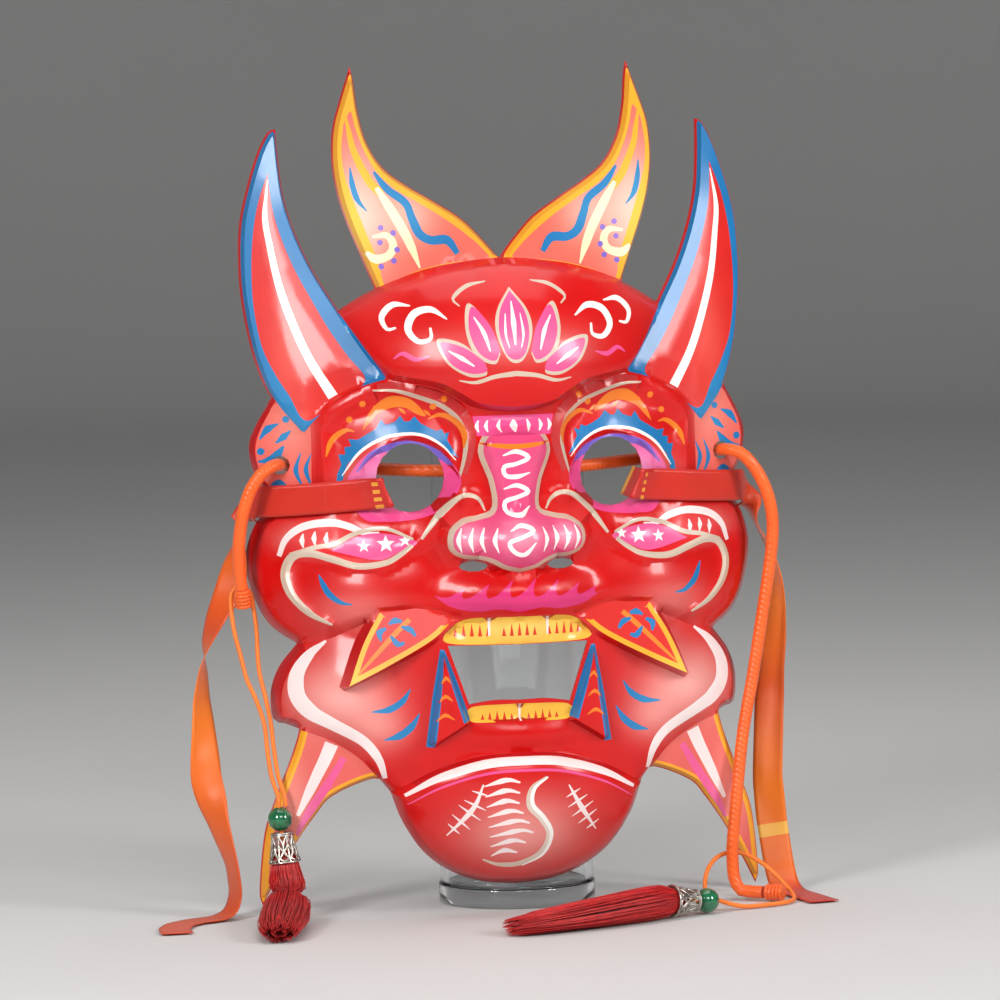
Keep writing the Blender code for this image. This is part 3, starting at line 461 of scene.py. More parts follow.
def inset(outline, distance):
    """Runs of points a distance inside an outline, broken where it is too narrow for them."""
    before = outline - np.roll(outline, 1, axis=0)
    after = np.roll(outline, -1, axis=0) - outline
    direction = each_unit(each_unit(before) + each_unit(after))
    normal = np.column_stack([-direction[:, 1], direction[:, 0]])
    best = None
    for side in (1, -1):
        points = outline + normal * distance * side
        depth = signed_distance(outline, points[:, 0], points[:, 1])
        good = depth > 0.93 * distance
        if best is None or good.sum() > best[1].sum():
            best = (points, good)
    points, good = best
    runs = []
    current = []
    for point, keep in zip(points, good):
        if keep:
            current.append(point)
        elif current:
            runs.append(np.array(current))
            current = []
    if current:
        runs.append(np.array(current))
    if len(runs) > 1 and good[0] and good[-1]:
        runs[0] = np.vstack([runs.pop(), runs[0]])
    elif len(runs) == 1 and good.all():
        runs[0] = np.vstack([runs[0], runs[0][:1]])
    return [run for run in runs if len(run) > 1]


def crease_lines(step):
    """Open lines along the tops of walls and the edges of forms, where the mesh needs vertices."""
    lines = []
    for runs in (INNER_HORN, OUTER_HORN, FLAP, EAR, TUSK, FANG):
        for side in both_sides(outline_points(runs, step)):
            lines += inset(side, 3.0 if runs is TUSK else 1.6)
    for runs, wall in ((DOME, 2.2), (CHIN, 2.5), (UPPER_FACE, 3.0), (LOWER_FACE, 3.0)):
        lines += inset(outline_points(runs, step), wall)
    for runs in (TUSK, FANG, EYE_ALMOND):
        for side in both_sides(outline_points(runs, step)):
            lines.append(np.vstack([side, side[:1]]))
    for runs in (UPPER_TEETH, LOWER_TEETH, NOSE):
        outline = outline_points(runs, step)
        lines.append(np.vstack([outline, outline[:1]]))
    lines += both_sides(run_points(SILVER_LINE[0], step))
    return lines


def on_sheet(shells, holes, x, z, reach):
    """Which points lie inside one of the shells and in no hole."""
    kept = np.zeros(x.shape, bool)
    for outline in shells:
        kept |= signed_distance(outline, x, z, reach) > 0
    for outline in holes:
        kept &= signed_distance(outline, x, z, reach) < 0
    return kept


def back_depth(x, z, front, shells, holes):
    """Depth of the sheet's back: the front, pushed back by the wall thickness along its normals."""
    cell = 0.8
    grid_x, grid_z = np.meshgrid(np.arange(-GRID_X, GRID_X, cell), np.arange(0, GRID_Z, cell), indexing="ij")
    depth = np.where(on_sheet(shells, holes, grid_x, grid_z, 1.0), face_depth(grid_x, grid_z), FAR)
    pushed = depth - SHEET
    reach = int(SHEET / cell) + 1
    for step_x in range(-reach, reach + 1):
        for step_z in range(-reach, reach + 1):
            aside = math.hypot(step_x, step_z) * cell
            if aside < SHEET:
                moved = np.roll(depth, (step_x, step_z), axis=(0, 1)) - math.sqrt(SHEET ** 2 - aside ** 2)
                pushed = np.minimum(pushed, moved)
    column = np.clip(((x + GRID_X) / cell).round().astype(int), 0, grid_x.shape[0] - 1)
    row = np.clip((z / cell).round().astype(int), 0, grid_x.shape[1] - 1)
    return np.minimum(front - SHEET, pushed[column, row])


def model_point(x, z, depth):
    """From the mask's frame, in millimetres, to the model's, in metres."""
    return ((x + MASK_X) * MM, -(depth + EAR_PLANE) * MM, z * MM)


def rim_edges(faces):
    """The edges of the sheet's outline and holes, each in the direction of its triangle."""
    seen = {}
    for a, b, c in faces:
        for edge in ((a, b), (b, c), (c, a)):
            seen[edge] = True
    return [edge for edge in seen if (edge[1], edge[0]) not in seen]


def lattice(step, fixed):
    """A triangular lattice over the mask that keeps clear of the fixed points."""
    rise = step * ROW_SHARE
    side = int(LATTICE_X / step)
    index_z, index_x = np.mgrid[0:int(LATTICE_Z / rise), -side:side + 1]
    shifted = index_x + 0.5 * (index_z % 2)
    points = np.column_stack([shifted.ravel() * step, index_z.ravel() * step * ROW_SHARE])
    cell = 0.7 * step
    taken = {(int(px // cell), int(pz // cell)) for px, pz in fixed}
    keys = np.floor(points / cell).astype(int)
    clear = [all((kx + i, kz + j) not in taken for i in (-1, 0, 1) for j in (-1, 0, 1)) for kx, kz in keys]
    return points[clear]


def seen(pixels):
    """Pixels of the photograph on the mask's left half, as (x, z) on the right half."""
    pixel_x, pixel_y = np.array(pixels, float).T
    depth = np.full(len(pixel_x), 20.0)
    for _ in range(3):
        centre = PHOTO_CENTRE_X + PHOTO_LEAN * (pixel_y - PHOTO_MIDDLE_Y)
        x = (pixel_x - centre - SIDE_VIEW * depth) * MM_PER_PIXEL_X
        tilt = PHOTO_TILT * (PHOTO_MIDDLE_X - pixel_x)
        z = (PHOTO_FLOOR_Y - pixel_y) * MM_PER_PIXEL_Z + tilt + HEIGHT_VIEW * depth
        depth = np.maximum(-8.0, face_depth(x, z))
    return [(-px, pz) for px, pz in zip(x, z)]


def smooth_line(points, step=1.2):
    points = np.array(points, float)
    if len(points) == 2:
        points = np.array([points[0], points.mean(axis=0), points[1]])
    return np.vstack([run_points(points, step), points[-1:]])


def stroke(points, widths):
    """The outline of a brush stroke along a line, its width running through the given widths."""
    line = smooth_line(points)
    share = np.linspace(0, 1, len(line))
    width = np.maximum(np.interp(share, np.linspace(0, 1, len(widths)), widths), 0.12)
    ahead = np.gradient(line, axis=0)
    ahead /= np.linalg.norm(ahead, axis=1)[:, None]
    normal = np.column_stack([-ahead[:, 1], ahead[:, 0]])
    return np.vstack([line + normal * width[:, None] / 2, (line - normal * width[:, None] / 2)[::-1]])


def blob(points):
    """A closed smooth outline through its points."""
    points = np.array(list(points) + [points[0]], float)
    return run_points(points, 1.2)


def polygon(points):
    return np.array(points, float)


def dot(centre, radius):
    return ellipse((*centre, radius, radius), 12)


def star(centre, radius):
    turns = np.arange(10) * math.pi / 5 + math.pi / 2
    reach = np.where(np.arange(10) % 2, 0.42 * radius, radius)
    return np.column_stack([centre[0] + reach * np.cos(turns), centre[1] + reach * np.sin(turns)])


def ring_of(runs, distance, step=1.6):
    """A form's outline drawn in by a distance, without the points that come too near another side."""
    outline = outline_points(runs, step)
    ahead = np.roll(outline, -1, axis=0) - np.roll(outline, 1, axis=0)
    normal = np.column_stack([-ahead[:, 1], ahead[:, 0]]) / np.maximum(np.hypot(*ahead.T), 1e-6)[:, None]
    after = np.roll(outline, -1, axis=0)
    turn = np.sign(np.sum(outline[:, 0] * after[:, 1] - after[:, 0] * outline[:, 1]))
    moved = outline + normal * turn * distance
    room = signed_distance(outline, moved[:, 0], moved[:, 1])
    return moved[room > distance - 0.12 * abs(distance)]


# The paint, from the lowest layer up: colour, outline on the right half, and which halves carry it
PAINT = []


def add(colour, outline, halves="both"):
    PAINT.append((colour, outline, halves))


def brush(colour, points, widths, halves="both"):
    add(colour, stroke(points, widths), halves)


def patch(colour, points, halves="both"):
    add(colour, blob(points), halves)


def form(colour, runs, distance, halves="both"):
    add(colour, ring_of(runs, distance), halves)


def outer_horn_paint():
    form("blue", OUTER_HORN, 0.6)
    patch("coral", seen([(267.6, 172), (258, 202), (253, 236), (252, 272), (254.7, 308), (262.5, 344.6),
        (275.4, 371.7), (289.6, 393.7), (307, 419), (338.7, 399), (364.5, 381), (346.4, 355),
        (328.4, 329), (310.3, 298), (293.5, 267), (280.6, 236), (272.8, 210), (269.4, 189)]))
    brush("white", seen([(267.6, 179), (265, 215), (270.2, 246), (279.3, 285), (293.5, 324), (310.3, 360),
        (333, 396)]), [0.3, 2, 2.4, 2.8, 3, 3.2, 3.8])


def inner_horn_paint():
    form("yellow", INNER_HORN, 0.5)
    patch("horn_pink", seen([(342.6, 127), (340.8, 153), (344.4, 179), (354.2, 207), (366.6, 238),
        (376.6, 262), (384.6, 287), (400, 279), (417.5, 272), (437, 267), (457.6, 264), (486, 262),
        (478, 250), (465.3, 238.6), (444.6, 223), (416.2, 205), (393, 191), (374.9, 174), (362, 151),
        (354.2, 130), (349.5, 114)]))
    brush("yellow", seen([(344, 116), (348, 134), (353, 154), (367, 182), (380, 196)]),
        [0.6, 2, 2.6, 3, 3.2])
    brush("cream", seen([(375, 190), (385, 205), (400.7, 231), (410, 250), (418, 270)]),
        [1.6, 3.4, 3.6, 3.2, 0.6])
    brush("blue", seen([(349, 169), (351.6, 187), (356.8, 202), (365.8, 213)]), [0.4, 2, 2.2, 0.4])
    brush("blue", seen([(372.3, 174), (385.2, 191), (403.3, 205), (409.8, 220), (417.5, 236),
        (429, 242.5), (444.6, 242.5), (455, 256)]), [1, 2.6, 3, 2.8, 3.4, 3.2, 3.6, 2])
    brush("cream", seen([(371, 238.6), (385.2, 237.3), (391.7, 246.4), (387.8, 256.7), (375, 260.6),
        (365, 254)]), [1, 2.2, 3, 3, 3.4, 1.6])
    for centre in seen([(379.3, 229.6), (378.7, 244.3), (395.5, 251.5), (392.4, 262.4), (380, 268),
        (391.7, 234.8)]):
        add("violet", dot(centre, 1.1))


def dome_paint():
    """A lotus in the middle of the forehead with a cloud curl on each side."""
    form("red", DOME, -0.3, "right")
    for colour, grow in (("silver", 1.2), ("pink", 0)):
        patch(colour, [(0, 234 + grow), (4.4 + grow, 227), (5.6 + grow, 219), (3.6, 211 - grow),
            (0, 208.6 - grow), (-3.6, 211 - grow), (-5.6 - grow, 219), (-4.4 - grow, 227)], "right")
        patch(colour, [(5.8, 212 - grow), (8.6, 221), (14.6 + grow, 228.4 + grow), (16.6 + grow, 220),
            (13.6 + grow, 211.6 - grow), (8, 208.4 - grow)])
        patch(colour, [(12, 208.6 - grow), (19, 213.6 + grow), (27 + grow, 215.4 + grow),
            (24 + grow, 208), (17.4, 204 - grow), (11, 204.6 - grow)])
    brush("white", [(0, 230), (0, 214)], [0.4, 2, 0.6], "right")
    for side in (1, -1):
        brush("white", [(side * 2.8, 225.6), (side * 3.3, 218), (side * 2.2, 213)], [0.3, 1, 0.3], "right")
    brush("white", [(9.4, 212), (11.4, 219), (14.4, 224.6)], [0.5, 1.7, 0.4])
    brush("white", [(15.4, 206.6), (19.8, 209.6), (24.4, 212.4)], [0.5, 1.7, 0.4])
    brush("silver", [(0, 203.6), (8, 202.6), (15, 200.6), (21, 201.4)], [2, 1.6, 1.4, 0.4])
    brush("white", [(24, 224), (29.4, 227.6), (35.4, 226), (38, 220.4), (34.8, 216), (30.4, 217),
        (30.2, 221)], [0.5, 2.2, 2.6, 2.6, 2.2, 1.6, 0.8])
    brush("white", [(36.4, 229), (42.4, 229.4), (46.6, 225), (45.2, 220.6),
        (42, 221)], [0.5, 2, 2.2, 1.6, 0.7])
    brush("pink", [(31, 210.6), (36, 209.4), (40.4, 211.6), (43.6, 209.6)], [0.4, 1.8, 1.8, 0.4])
    brush("silver", [(8.4, 237.4), (15.6, 235.8), (21, 231.4), (19, 228.6)], [0.4, 1.4, 1.4, 0.5])


def eye_paint():
    ring = seen([(372, 391), (393, 392), (415, 398), (440, 408), (456, 422), (463, 441), (462, 459),
        (457, 478)])
    brush("mauve", [(x - 1.6, z + 1.4) for x, z in ring], [2, 4, 4.6, 5, 4.6, 3])
    brush("silver", ring, [0.6, 1.5, 1.7, 1.7, 1.5, 0.8])
    patch("socket_pink", seen([(344, 486), (350, 472), (362, 457), (380, 446), (400, 441), (420, 444),
        (440, 454), (454, 469), (459, 482), (455, 494), (444, 505), (428, 514), (408, 519), (384, 520),
        (362, 516)]))
    brush("violet", seen([(356, 471), (372, 454), (390, 446.6), (408, 445), (427, 450), (442, 459),
        (453, 472)]), [0.4, 2.2, 2.8, 3, 3, 2.6, 0.5])
    outer = seen([(362, 430), (366, 417), (375, 405), (389, 397), (406, 399), (417, 407), (424, 417)])
    inner = seen([(415, 415), (405, 409), (392, 408), (377, 414), (369, 423)])
    patch("amber", outer + inner)
    brush("amber", seen([(326, 455), (330, 442), (338, 433), (347, 429), (354, 431)]),
        [0.4, 2, 2.2, 1.8, 0.4])
    brush("amber", seen([(426, 420), (438, 416), (449, 420), (458, 428), (462, 438), (461, 449)]),
        [0.4, 1.8, 2.2, 2, 0.4])
    for centre in seen([(349, 419), (362, 404), (431, 408), (442, 401)]):
        add("amber", dot(centre, 1.2))
    band = seen([(336, 482), (337, 472), (341, 463), (338, 453), (345, 453), (344, 446), (351, 445),
        (348, 438), (357, 439), (371, 431), (375, 429), (380, 419), (385, 425), (394, 422), (399, 416),
        (403, 422), (408, 422), (413, 417), (419, 424), (428, 429), (435, 432), (440, 430), (442, 435),
        (447, 433), (445, 441), (450, 449), (456, 459), (449, 455), (435, 443), (417, 436), (399, 434),
        (379, 440), (361, 449), (347, 463), (341, 483)])
    add("blue", polygon(band))
    # This white line along the lash band's lower edge is a painted highlight on its ridge
    brush("white", seen([(341.6, 474), (358.8, 452), (379.5, 439.4), (400.2, 434.7), (420.8, 436),
        (439.7, 446), (453.5, 461)]), [0.3, 1, 1.2, 1.2, 1.1, 0.9, 0.3])
    for along in (0.2, 0.5, 0.8):
        brush("amber", [(24 + 30 * along, 187.4 + 3 * along),
            (26.4 + 30 * along, 189.6 + 3 * along)], [0.3, 1.3, 0.3])


def nose_paint():
    form("silver", NOSE, -0.2)
    form("nose_pink", NOSE, 1.5)
    add("pink", polygon([(-15.2, 187.6), (15.2, 187.6), (13.8, 180.2), (-13.8, 180.2)]), "right")
    for x in (0, 5, 9.6, 13):
        brush("white", [(x, 186), (x + 0.8, 183.8), (x, 181.6)], [0.4, 1.5, 0.4])
    brush("amber", [(-13, 177.6), (-6, 176.6), (0, 176.2), (6, 176.6),
        (13, 177.6)], [0.6, 1.8, 2, 1.8, 0.6], "right")
    for squiggle in (
        [(-5, 173), (0, 174.4), (4.6, 172), (0, 169.8), (-4.6, 168.8), (-4.2, 165.6), (0, 165), (5, 166.4)],
        [(-5, 160.6), (0, 161.8), (4.2, 159.4), (0, 157.4), (-4.6, 155.8), (-4, 152), (1, 151), (4.6, 154)],
        [(-4, 145.4), (0, 147.4), (4.6, 145.4), (0, 143), (-4.6, 141.2), (-3, 137.8), (1, 136.6), (5.4, 141)],
    ):
        brush("white", squiggle, [0.5, 1.7, 1.7, 1.5, 1.7, 1.6, 1.8, 0.4], "right")
    for x in (8.4, 12.8, 17, 21.2):
        brush("white", [(x, 146.6), (x + 1.4, 142), (x, 137.4)], [0.3, 1.7, 0.3])
    brush("silver", seen([(420, 538), (430, 524), (440, 512), (457, 498), (469, 496), (477, 501),
        (482, 511)]), [1, 2, 2.2, 2, 1.6, 0.6])
    crests = [(-31, 121.2)]
    for x, rise in ((-23, 3.4), (-14.4, 4.8), (-5.6, 6), (3.2, 6.4), (12, 5.6), (20.4, 4), (27.6, 2.4)):
        crests += [(x - 3.4, 119.8 + rise * 0.25), (x + 0.4, 120.4 + rise * 0.7), (x + 3, 120.6 + rise),
            (x + 1.7, 120.2 + rise * 0.55), (x + 2.2, 119.6 + rise * 0.15)]
    crests += [(31.4, 120.6), (25, 117), (16, 115.4), (8, 116.2), (0, 114.8), (-8, 116), (-16, 115.2),
        (-25, 117)]
    patch("flame_pink", crests, "right")


def cheek_paint():
    loop = [(85.5, 136), (82.9, 142.6), (77, 147.2), (68, 148.8), (61, 147.4), (54.6, 144.6), (50, 144.8)]
    patch("cheek_red", [(84, 137), (80, 144.4), (68, 147.4), (58, 145), (50, 142), (58, 134), (68, 135.6),
        (76, 138)])
    brush("petal_white", loop, [1.6, 2.6, 2.8, 2.6, 1])
    for x, z in seen([(302, 537), (314, 535), (326, 536)]):
        brush("petal_white", [(x - 0.5, z + 2.6), (x, z), (x - 0.4, z - 2.6)], [0.4, 1.9, 0.4])
    patch("leaf_pink", [(67.6, 138.4), (58, 143.5), (48, 144.6), (36.8, 141.4), (44, 137.4), (52, 135)])
    for centre, radius in (((55.8, 140), 2.5), ((47.8, 140.7), 3.4), ((40.9, 141.8), 2.3)):
        add("white", star(centre, radius))
    brush("silver", [(82, 137), (74, 139.4), (66, 141), (58, 144.8), (48, 146.4),
        (38, 142.4)], [0.8, 1.6, 1.8, 1.6, 1.4, 1])
    brush("silver", [(38.5, 140.2), (43, 136.8), (48.8, 133.9), (58.6, 132.9), (67.5, 135.4), (75, 137.4),
        (81, 136), (83.9, 129.6), (82, 122), (76, 115.2),
        (68, 110.8)], [1.4, 2, 2.4, 2.6, 3, 3.2, 2.6, 0.8])
    brush("blue", seen([(319, 571), (324, 582), (330, 591), (341, 599), (352, 601)]),
        [0.4, 2, 2.4, 1.8, 0.4])


def mouth_paint():
    form("tooth", UPPER_TEETH, 0.1, "right")
    form("tooth", LOWER_TEETH, 0.1, "right")
    for tooth in (-17.4, 0, 17.4):
        for index, tall in enumerate((3.4, 4.8, 5.2, 4.8, 3.4)):
            x = tooth + (index - 2) * 2.9
            add("flame_red", polygon([(x - 0.75, 105.6), (x + 0.75, 105.6), (x, 105.6 + tall)]), "right")
    for tooth in (-8.6, 8.6):
        for index, tall in enumerate((2.2, 3, 3.4, 3, 2.2)):
            x = tooth + (index - 2) * 2.7
            add("flame_red", polygon([(x - 0.7, 74.2), (x + 0.7, 74.2), (x, 74.2 + tall)]), "right")
    for x in (11, -11):
        brush("petal_white", [(x, 112.4), (x, 105.6)], [1.1, 0.9, 0.7], "right")
    brush("petal_white", [(0, 80), (0, 73.6)], [1.1, 0.9, 0.7], "right")
    form("yellow", TUSK, 2.1)
    form("tusk_red", TUSK, 4.0)
    add("tusk_red", polygon([(21, 112.6), (28, 116.4), (36.4, 118.6), (44, 118), (52.4, 117.4),
        (49.4, 113.8), (42, 112), (34, 111.6), (27.6, 110)]))
    brush("amber", [(40.2, 112.6), (43.6, 109.6), (49.4, 104), (60.4, 92.8)], [1.9, 1.9, 1.6, 0.5])
    for leaf in (
        [(51.2, 105), (51.6, 108), (49, 109.6)],
        [(48, 111), (45.6, 112.4), (43, 111.8)],
        [(47.6, 106.8), (45, 103.6), (42.6, 104.2)],
        [(43.4, 110), (40, 108.8), (38.4, 106.4)],
    ):
        brush("blue", leaf, [0.8, 2.5, 1])
    brush("blue", [(28.6, 101), (33.6, 64.4)], [1.2, 2.8, 3])
    brush("blue", [(28.2, 100.6), (20.2, 74)], [1.2, 2.8, 3])
    for z, half in ((90, 1.6), (83, 2.6), (76, 3.4)):
        centre = 28.3 - 0.04 * (z - 80)
        brush("amber", [(centre - half, z - 1), (centre, z + 0.8),
            (centre + half, z - 1.6)], [0.3, 1.5, 0.3])


def face_paint():
    """The plain red of the forms that lie over the ears, flaps and inner horns."""
    form("red", LOWER_FACE, -0.2, "right")
    form("red", UPPER_FACE, -0.2, "right")
    form("red", CHIN, -0.2, "right")


def jowl_paint():
    brush("petal_white", [(69.9, 104.5), (76, 99.4), (80.6, 92), (80.8, 84), (76.4, 78), (70, 74.2),
        (58.3, 67.4), (52.4, 60.4), (49.8, 52.6)], [0.8, 3.6, 5.4, 6, 4.6, 4, 3.4, 1.6])
    brush("blue", seen([(371, 707), (388, 705), (401, 697), (409, 685)]), [0.4, 2.6, 2.4, 0.4])
    brush("blue", seen([(383, 735), (398, 731), (410, 722), (418, 709)]), [0.4, 2.8, 2.6, 0.4])


def flap_paint():
    form("yellow", FLAP, 0.4)
    form("flap_coral", FLAP, 2.7)
    brush("petal_white", seen([(331, 738), (324, 754), (317, 768), (297.2, 809)]), [5, 4.4, 3.6, 1.4])
    brush("leaf_pink", seen([(343, 752), (326, 779.7), (307, 808), (296, 829)]), [2.4, 3.2, 3.2, 1.4])


def ear_paint():
    patch("ear_coral", [(73, 192), (84, 193.6), (88, 188.6), (91.6, 181), (92.6, 174), (90.6, 166),
        (86.4, 160), (84.4, 156.4), (74.4, 155.6), (73, 170)])
    for line, widths in (
        ([(301, 450), (296, 468), (304, 486)], [0.3, 1.9, 0.3]),
        ([(311, 452), (306, 467), (312, 485)], [0.3, 1.9, 0.3]),
        ([(284, 443), (277, 452), (268, 457), (258, 458)], [0.6, 3, 2.6, 0.5]),
        ([(279, 421), (268, 426), (260, 436)], [0.4, 2.8, 0.6]),
        ([(291, 428), (284, 434), (276, 440)], [0.4, 2.6, 0.6]),
        ([(271, 482), (278, 479), (288, 484)], [0.6, 3, 0.8]),
    ):
        brush("blue", seen(line), widths)
    for centre, radius in zip(seen([(261, 448), (286, 417), (275, 491)]), (1.4, 1.3, 1.0)):
        add("blue", dot(centre, radius))


def chin_paint():
    arc = [(-43.4, 46.6), (-31, 53.4), (-15, 58.2), (0, 59.2), (15, 58.2), (31, 53.4), (43.4, 46.6)]
    brush("petal_white", arc, [1.2, 2.6, 3, 3, 3, 2.6, 1.2], "right")
    brush("pink", [(x * 0.98, z - 3.4) for x, z in arc], [0.3, 0.9, 1, 1, 1, 0.9, 0.3], "right")
    brush("silver", [(8, 53), (2.4, 49), (1.4, 42.6), (6, 37.4), (9.4, 31), (6.6, 23.6), (-1, 19.6),
        (-9, 19.4), (-15, 21.6)], [0.8, 2, 2.4, 2.4, 2.4, 2.2, 1.8, 0.6], "right")
    brush("white", [(8.6, 53), (3.4, 49), (2.6, 43), (7, 37.6), (10.2, 31), (7.6, 23),
        (0, 18.6)], [0.6, 1.4, 1.6, 1.6, 1.4, 1, 0.4], "right")
    for index in range(8):
        z = 51.4 - 3.9 * index
        start = -2.4 + (0.4, 0.2, 0, 1.6, 4, 5.6, 3, 0)[index]
        tail = -15.6 + 0.5 * index
        brush("petal_white", [(start, z), (start - 5, z + 1.1), (tail, z - 1.2)], [0.6, 2.1, 0.3], "right")
    for spine in (((16.6, 49.6), (21.4, 41), (27.8, 31.6)), ((-15.6, 51), (-19.4, 42), (-28.6, 31.4))):
        brush("petal_white", spine, [0.5, 2.1, 0.4], "right")
        line = smooth_line(spine)
        for share, half in ((0.16, 3.2), (0.34, 4.4), (0.52, 5), (0.7, 4.4), (0.86, 3)):
            place = round(share * (len(line) - 1))
            run = line[place] - line[place - 1]
            aside = np.array((-run[1], run[0])) / np.hypot(*run) * half
            brush("petal_white", [line[place] - aside, line[place], line[place] + aside], [0.2, 1, 0.2],
                "right")


inner_horn_paint()
ear_paint()
flap_paint()
face_paint()
dome_paint()
outer_horn_paint()
eye_paint()
nose_paint()
cheek_paint()
jowl_paint()
mouth_paint()
chin_paint()


# Materials

def node_material(name):
    made = bpy.data.materials.new(name)
    made.use_nodes = True
    tree = made.node_tree
    return made, tree, tree.nodes["Principled BSDF"]


def add_node(tree, kind, **values):
    """A new shader node with some of its inputs set; an underscore stands for a space in an input's name."""
    made = tree.nodes.new("ShaderNode" + kind)
    set_inputs(made, **values)
    return made


def set_inputs(node, **values):
    for name, value in values.items():
        node.inputs[name.replace("_", " ")].default_value = value


def noise_colour(tree, shader, colour, dark, scale, amount, second=None):
    """A base colour with soft blotches, and a second, lighter colour where the mesh's tone attribute is high:
    airbrushed print and painted highlight on the mask, painted sheen on the ribbons.
    """
    coords = add_node(tree, "TexCoord")
    noise = add_node(tree, "TexNoise", Scale=scale, Detail=4)
    tree.links.new(coords.outputs["Object"], noise.inputs["Vector"])
    span = add_node(tree, "MapRange", From_Min=0.35, From_Max=0.7, To_Max=amount)
    tree.links.new(noise.outputs["Fac"], span.inputs["Value"])
    mix = add_node(tree, "MixRGB", Color1=(*colour, 1), Color2=(*dark, 1))
    tree.links.new(span.outputs["Result"], mix.inputs["Fac"])
    result = mix.outputs["Color"]
    if second is not None:
        airbrush_and_highlight = add_node(tree, "Attribute")
        airbrush_and_highlight.attribute_name = "airbrush_and_highlight"
        tint = add_node(tree, "MixRGB", Color2=(*second, 1))
        tree.links.new(airbrush_and_highlight.outputs["Fac"], tint.inputs["Fac"])
        tree.links.new(result, tint.inputs["Color1"])
        result = tint.outputs["Color"]
    tree.links.new(result, shader.inputs["Base Color"])
    return coords


def bump_from(tree, shader, texture, strength, distance):
    raised = add_node(tree, "Bump", Strength=strength, Distance=distance)
    tree.links.new(texture.outputs["Fac"], raised.inputs["Height"])
    tree.links.new(raised.outputs["Normal"], shader.inputs["Normal"])


def fine_bump(tree, shader, coords, scale, strength, distance):
    noise = add_node(tree, "TexNoise", Scale=scale, Detail=3)
    tree.links.new(coords.outputs["Object"], noise.inputs["Vector"])
    bump_from(tree, shader, noise, strength, distance)


def shaded(colour, share):
    return tuple(channel * share for channel in colour)


def grainy_material(name, colour, dark, scale, amount, grain, second=None, **finish):
    """Soft dark blotches, a fine grain as (scale, strength, distance), and the finish's other inputs."""
    made, tree, shader = node_material(name)
    coords = noise_colour(tree, shader, colour, dark, scale, amount, second)
    fine_bump(tree, shader, coords, *grain)
    set_inputs(shader, **finish)
    return made


def paint_material(name, colour, airbrush_and_highlight, roughness=0.3):
    """Printed plastic: the ink's colour, a lighter tone that is partly airbrushed print and partly painted
    highlight, a clear gloss and a faint grain.
    """
    return grainy_material(name, colour, shaded(colour, 0.82), 55, 0.6, (700, 0.12, 0.0002), airbrush_and_highlight,
                           Roughness=roughness, Specular_IOR_Level=0.25, Coat_Weight=0.3, Coat_Roughness=0.12)


# Each paint: its ink, then the lighter colour of its tone, partly airbrushed print and partly painted
# highlight
PAINTS = {
    "red": ((0.6, 0.002, 0.002), (0.9, 0.4, 0.36)),
    # A darker red for steep walls: painted shade
    "painted_shade_red": ((0.47, 0.004, 0.006), (0.6, 0.03, 0.03)),
    "flap_coral": ((0.74, 0.12, 0.1), (0.86, 0.34, 0.28)),
    "cheek_red": ((0.66, 0.012, 0.014), (0.8, 0.12, 0.12)),
    "coral": ((0.66, 0.014, 0.01), (0.8, 0.12, 0.09)),
    "tusk_red": ((0.64, 0.012, 0.008), (0.74, 0.06, 0.04)),
    "horn_pink": ((0.78, 0.13, 0.09), (0.93, 0.62, 0.5)),
    "ear_coral": ((0.76, 0.13, 0.1), (0.86, 0.3, 0.24)),
    "blue": ((0.01, 0.17, 0.42), (0.06, 0.3, 0.55)),
    "violet": ((0.16, 0.1, 0.5), (0.42, 0.26, 0.66)),
    "white": ((0.9, 0.86, 0.8), (0.95, 0.93, 0.9)),
    "cream": ((0.9, 0.72, 0.42), (0.95, 0.86, 0.66)),
    "petal_white": ((0.88, 0.72, 0.7), (0.95, 0.86, 0.84)),
    "yellow": ((0.88, 0.36, 0.015), (0.93, 0.55, 0.08)),
    "amber": ((0.8, 0.19, 0.012), (0.86, 0.32, 0.03)),
    "flame_red": ((0.66, 0.03, 0.01), (0.7, 0.06, 0.02)),
    "tooth": ((0.86, 0.47, 0.05), (0.92, 0.66, 0.22)),
    "silver": ((0.6, 0.47, 0.36), (0.8, 0.74, 0.66)),
    "mauve": ((0.5, 0.03, 0.03), (0.6, 0.09, 0.09)),
    "pink": ((0.78, 0.08, 0.26), (0.86, 0.3, 0.45)),
    "socket_pink": ((0.8, 0.06, 0.24), (0.82, 0.36, 0.62)),
    "nose_pink": ((0.74, 0.07, 0.2), (0.85, 0.36, 0.45)),
    "flame_pink": ((0.68, 0.03, 0.17), (0.76, 0.12, 0.3)),
    "leaf_pink": ((0.78, 0.1, 0.28), (0.86, 0.3, 0.5)),
}


# Walls steeper than this, and below this height, take a darker red as painted shade unless one of the wall
# paints covers them
STEEP = 1.9
WALLS_BELOW = 200
WALL_PAINTS = (
    "nose_pink", "silver", "white", "pink", "blue", "yellow", "cream", "petal_white", "flap_coral",
)
# Edges of the sheet that turn by more than this, in degrees, stay sharp
CREASE_ANGLE = 36


# The lighter patches, partly airbrushed print and partly painted highlight on the tops of the bulges: how
# light, then the centre (x, z) and the half width and half height
AIRBRUSH_AND_HIGHLIGHT = [
    (0.9, 66, 84, 20, 15), (0.5, 52, 72, 12, 10), (0.75, 0, 32, 26, 15), (0.85, 52, 262, 13, 26),
    (0.5, 34, 262, 12, 12), (0.5, 80, 212, 8, 26), (0.25, 0, 214, 30, 10), (0.8, 46, 164, 16, 10),
    (0.7, 0, 143, 9, 6), (0.8, 18, 143, 6, 5), (0.5, 74, 143, 14, 6), (0.6, 84, 42, 8, 22),
    (0.3, 60, 116, 16, 10), (0.5, 0, 108, 24, 4), (0.5, 80, 182, 8, 12),
]


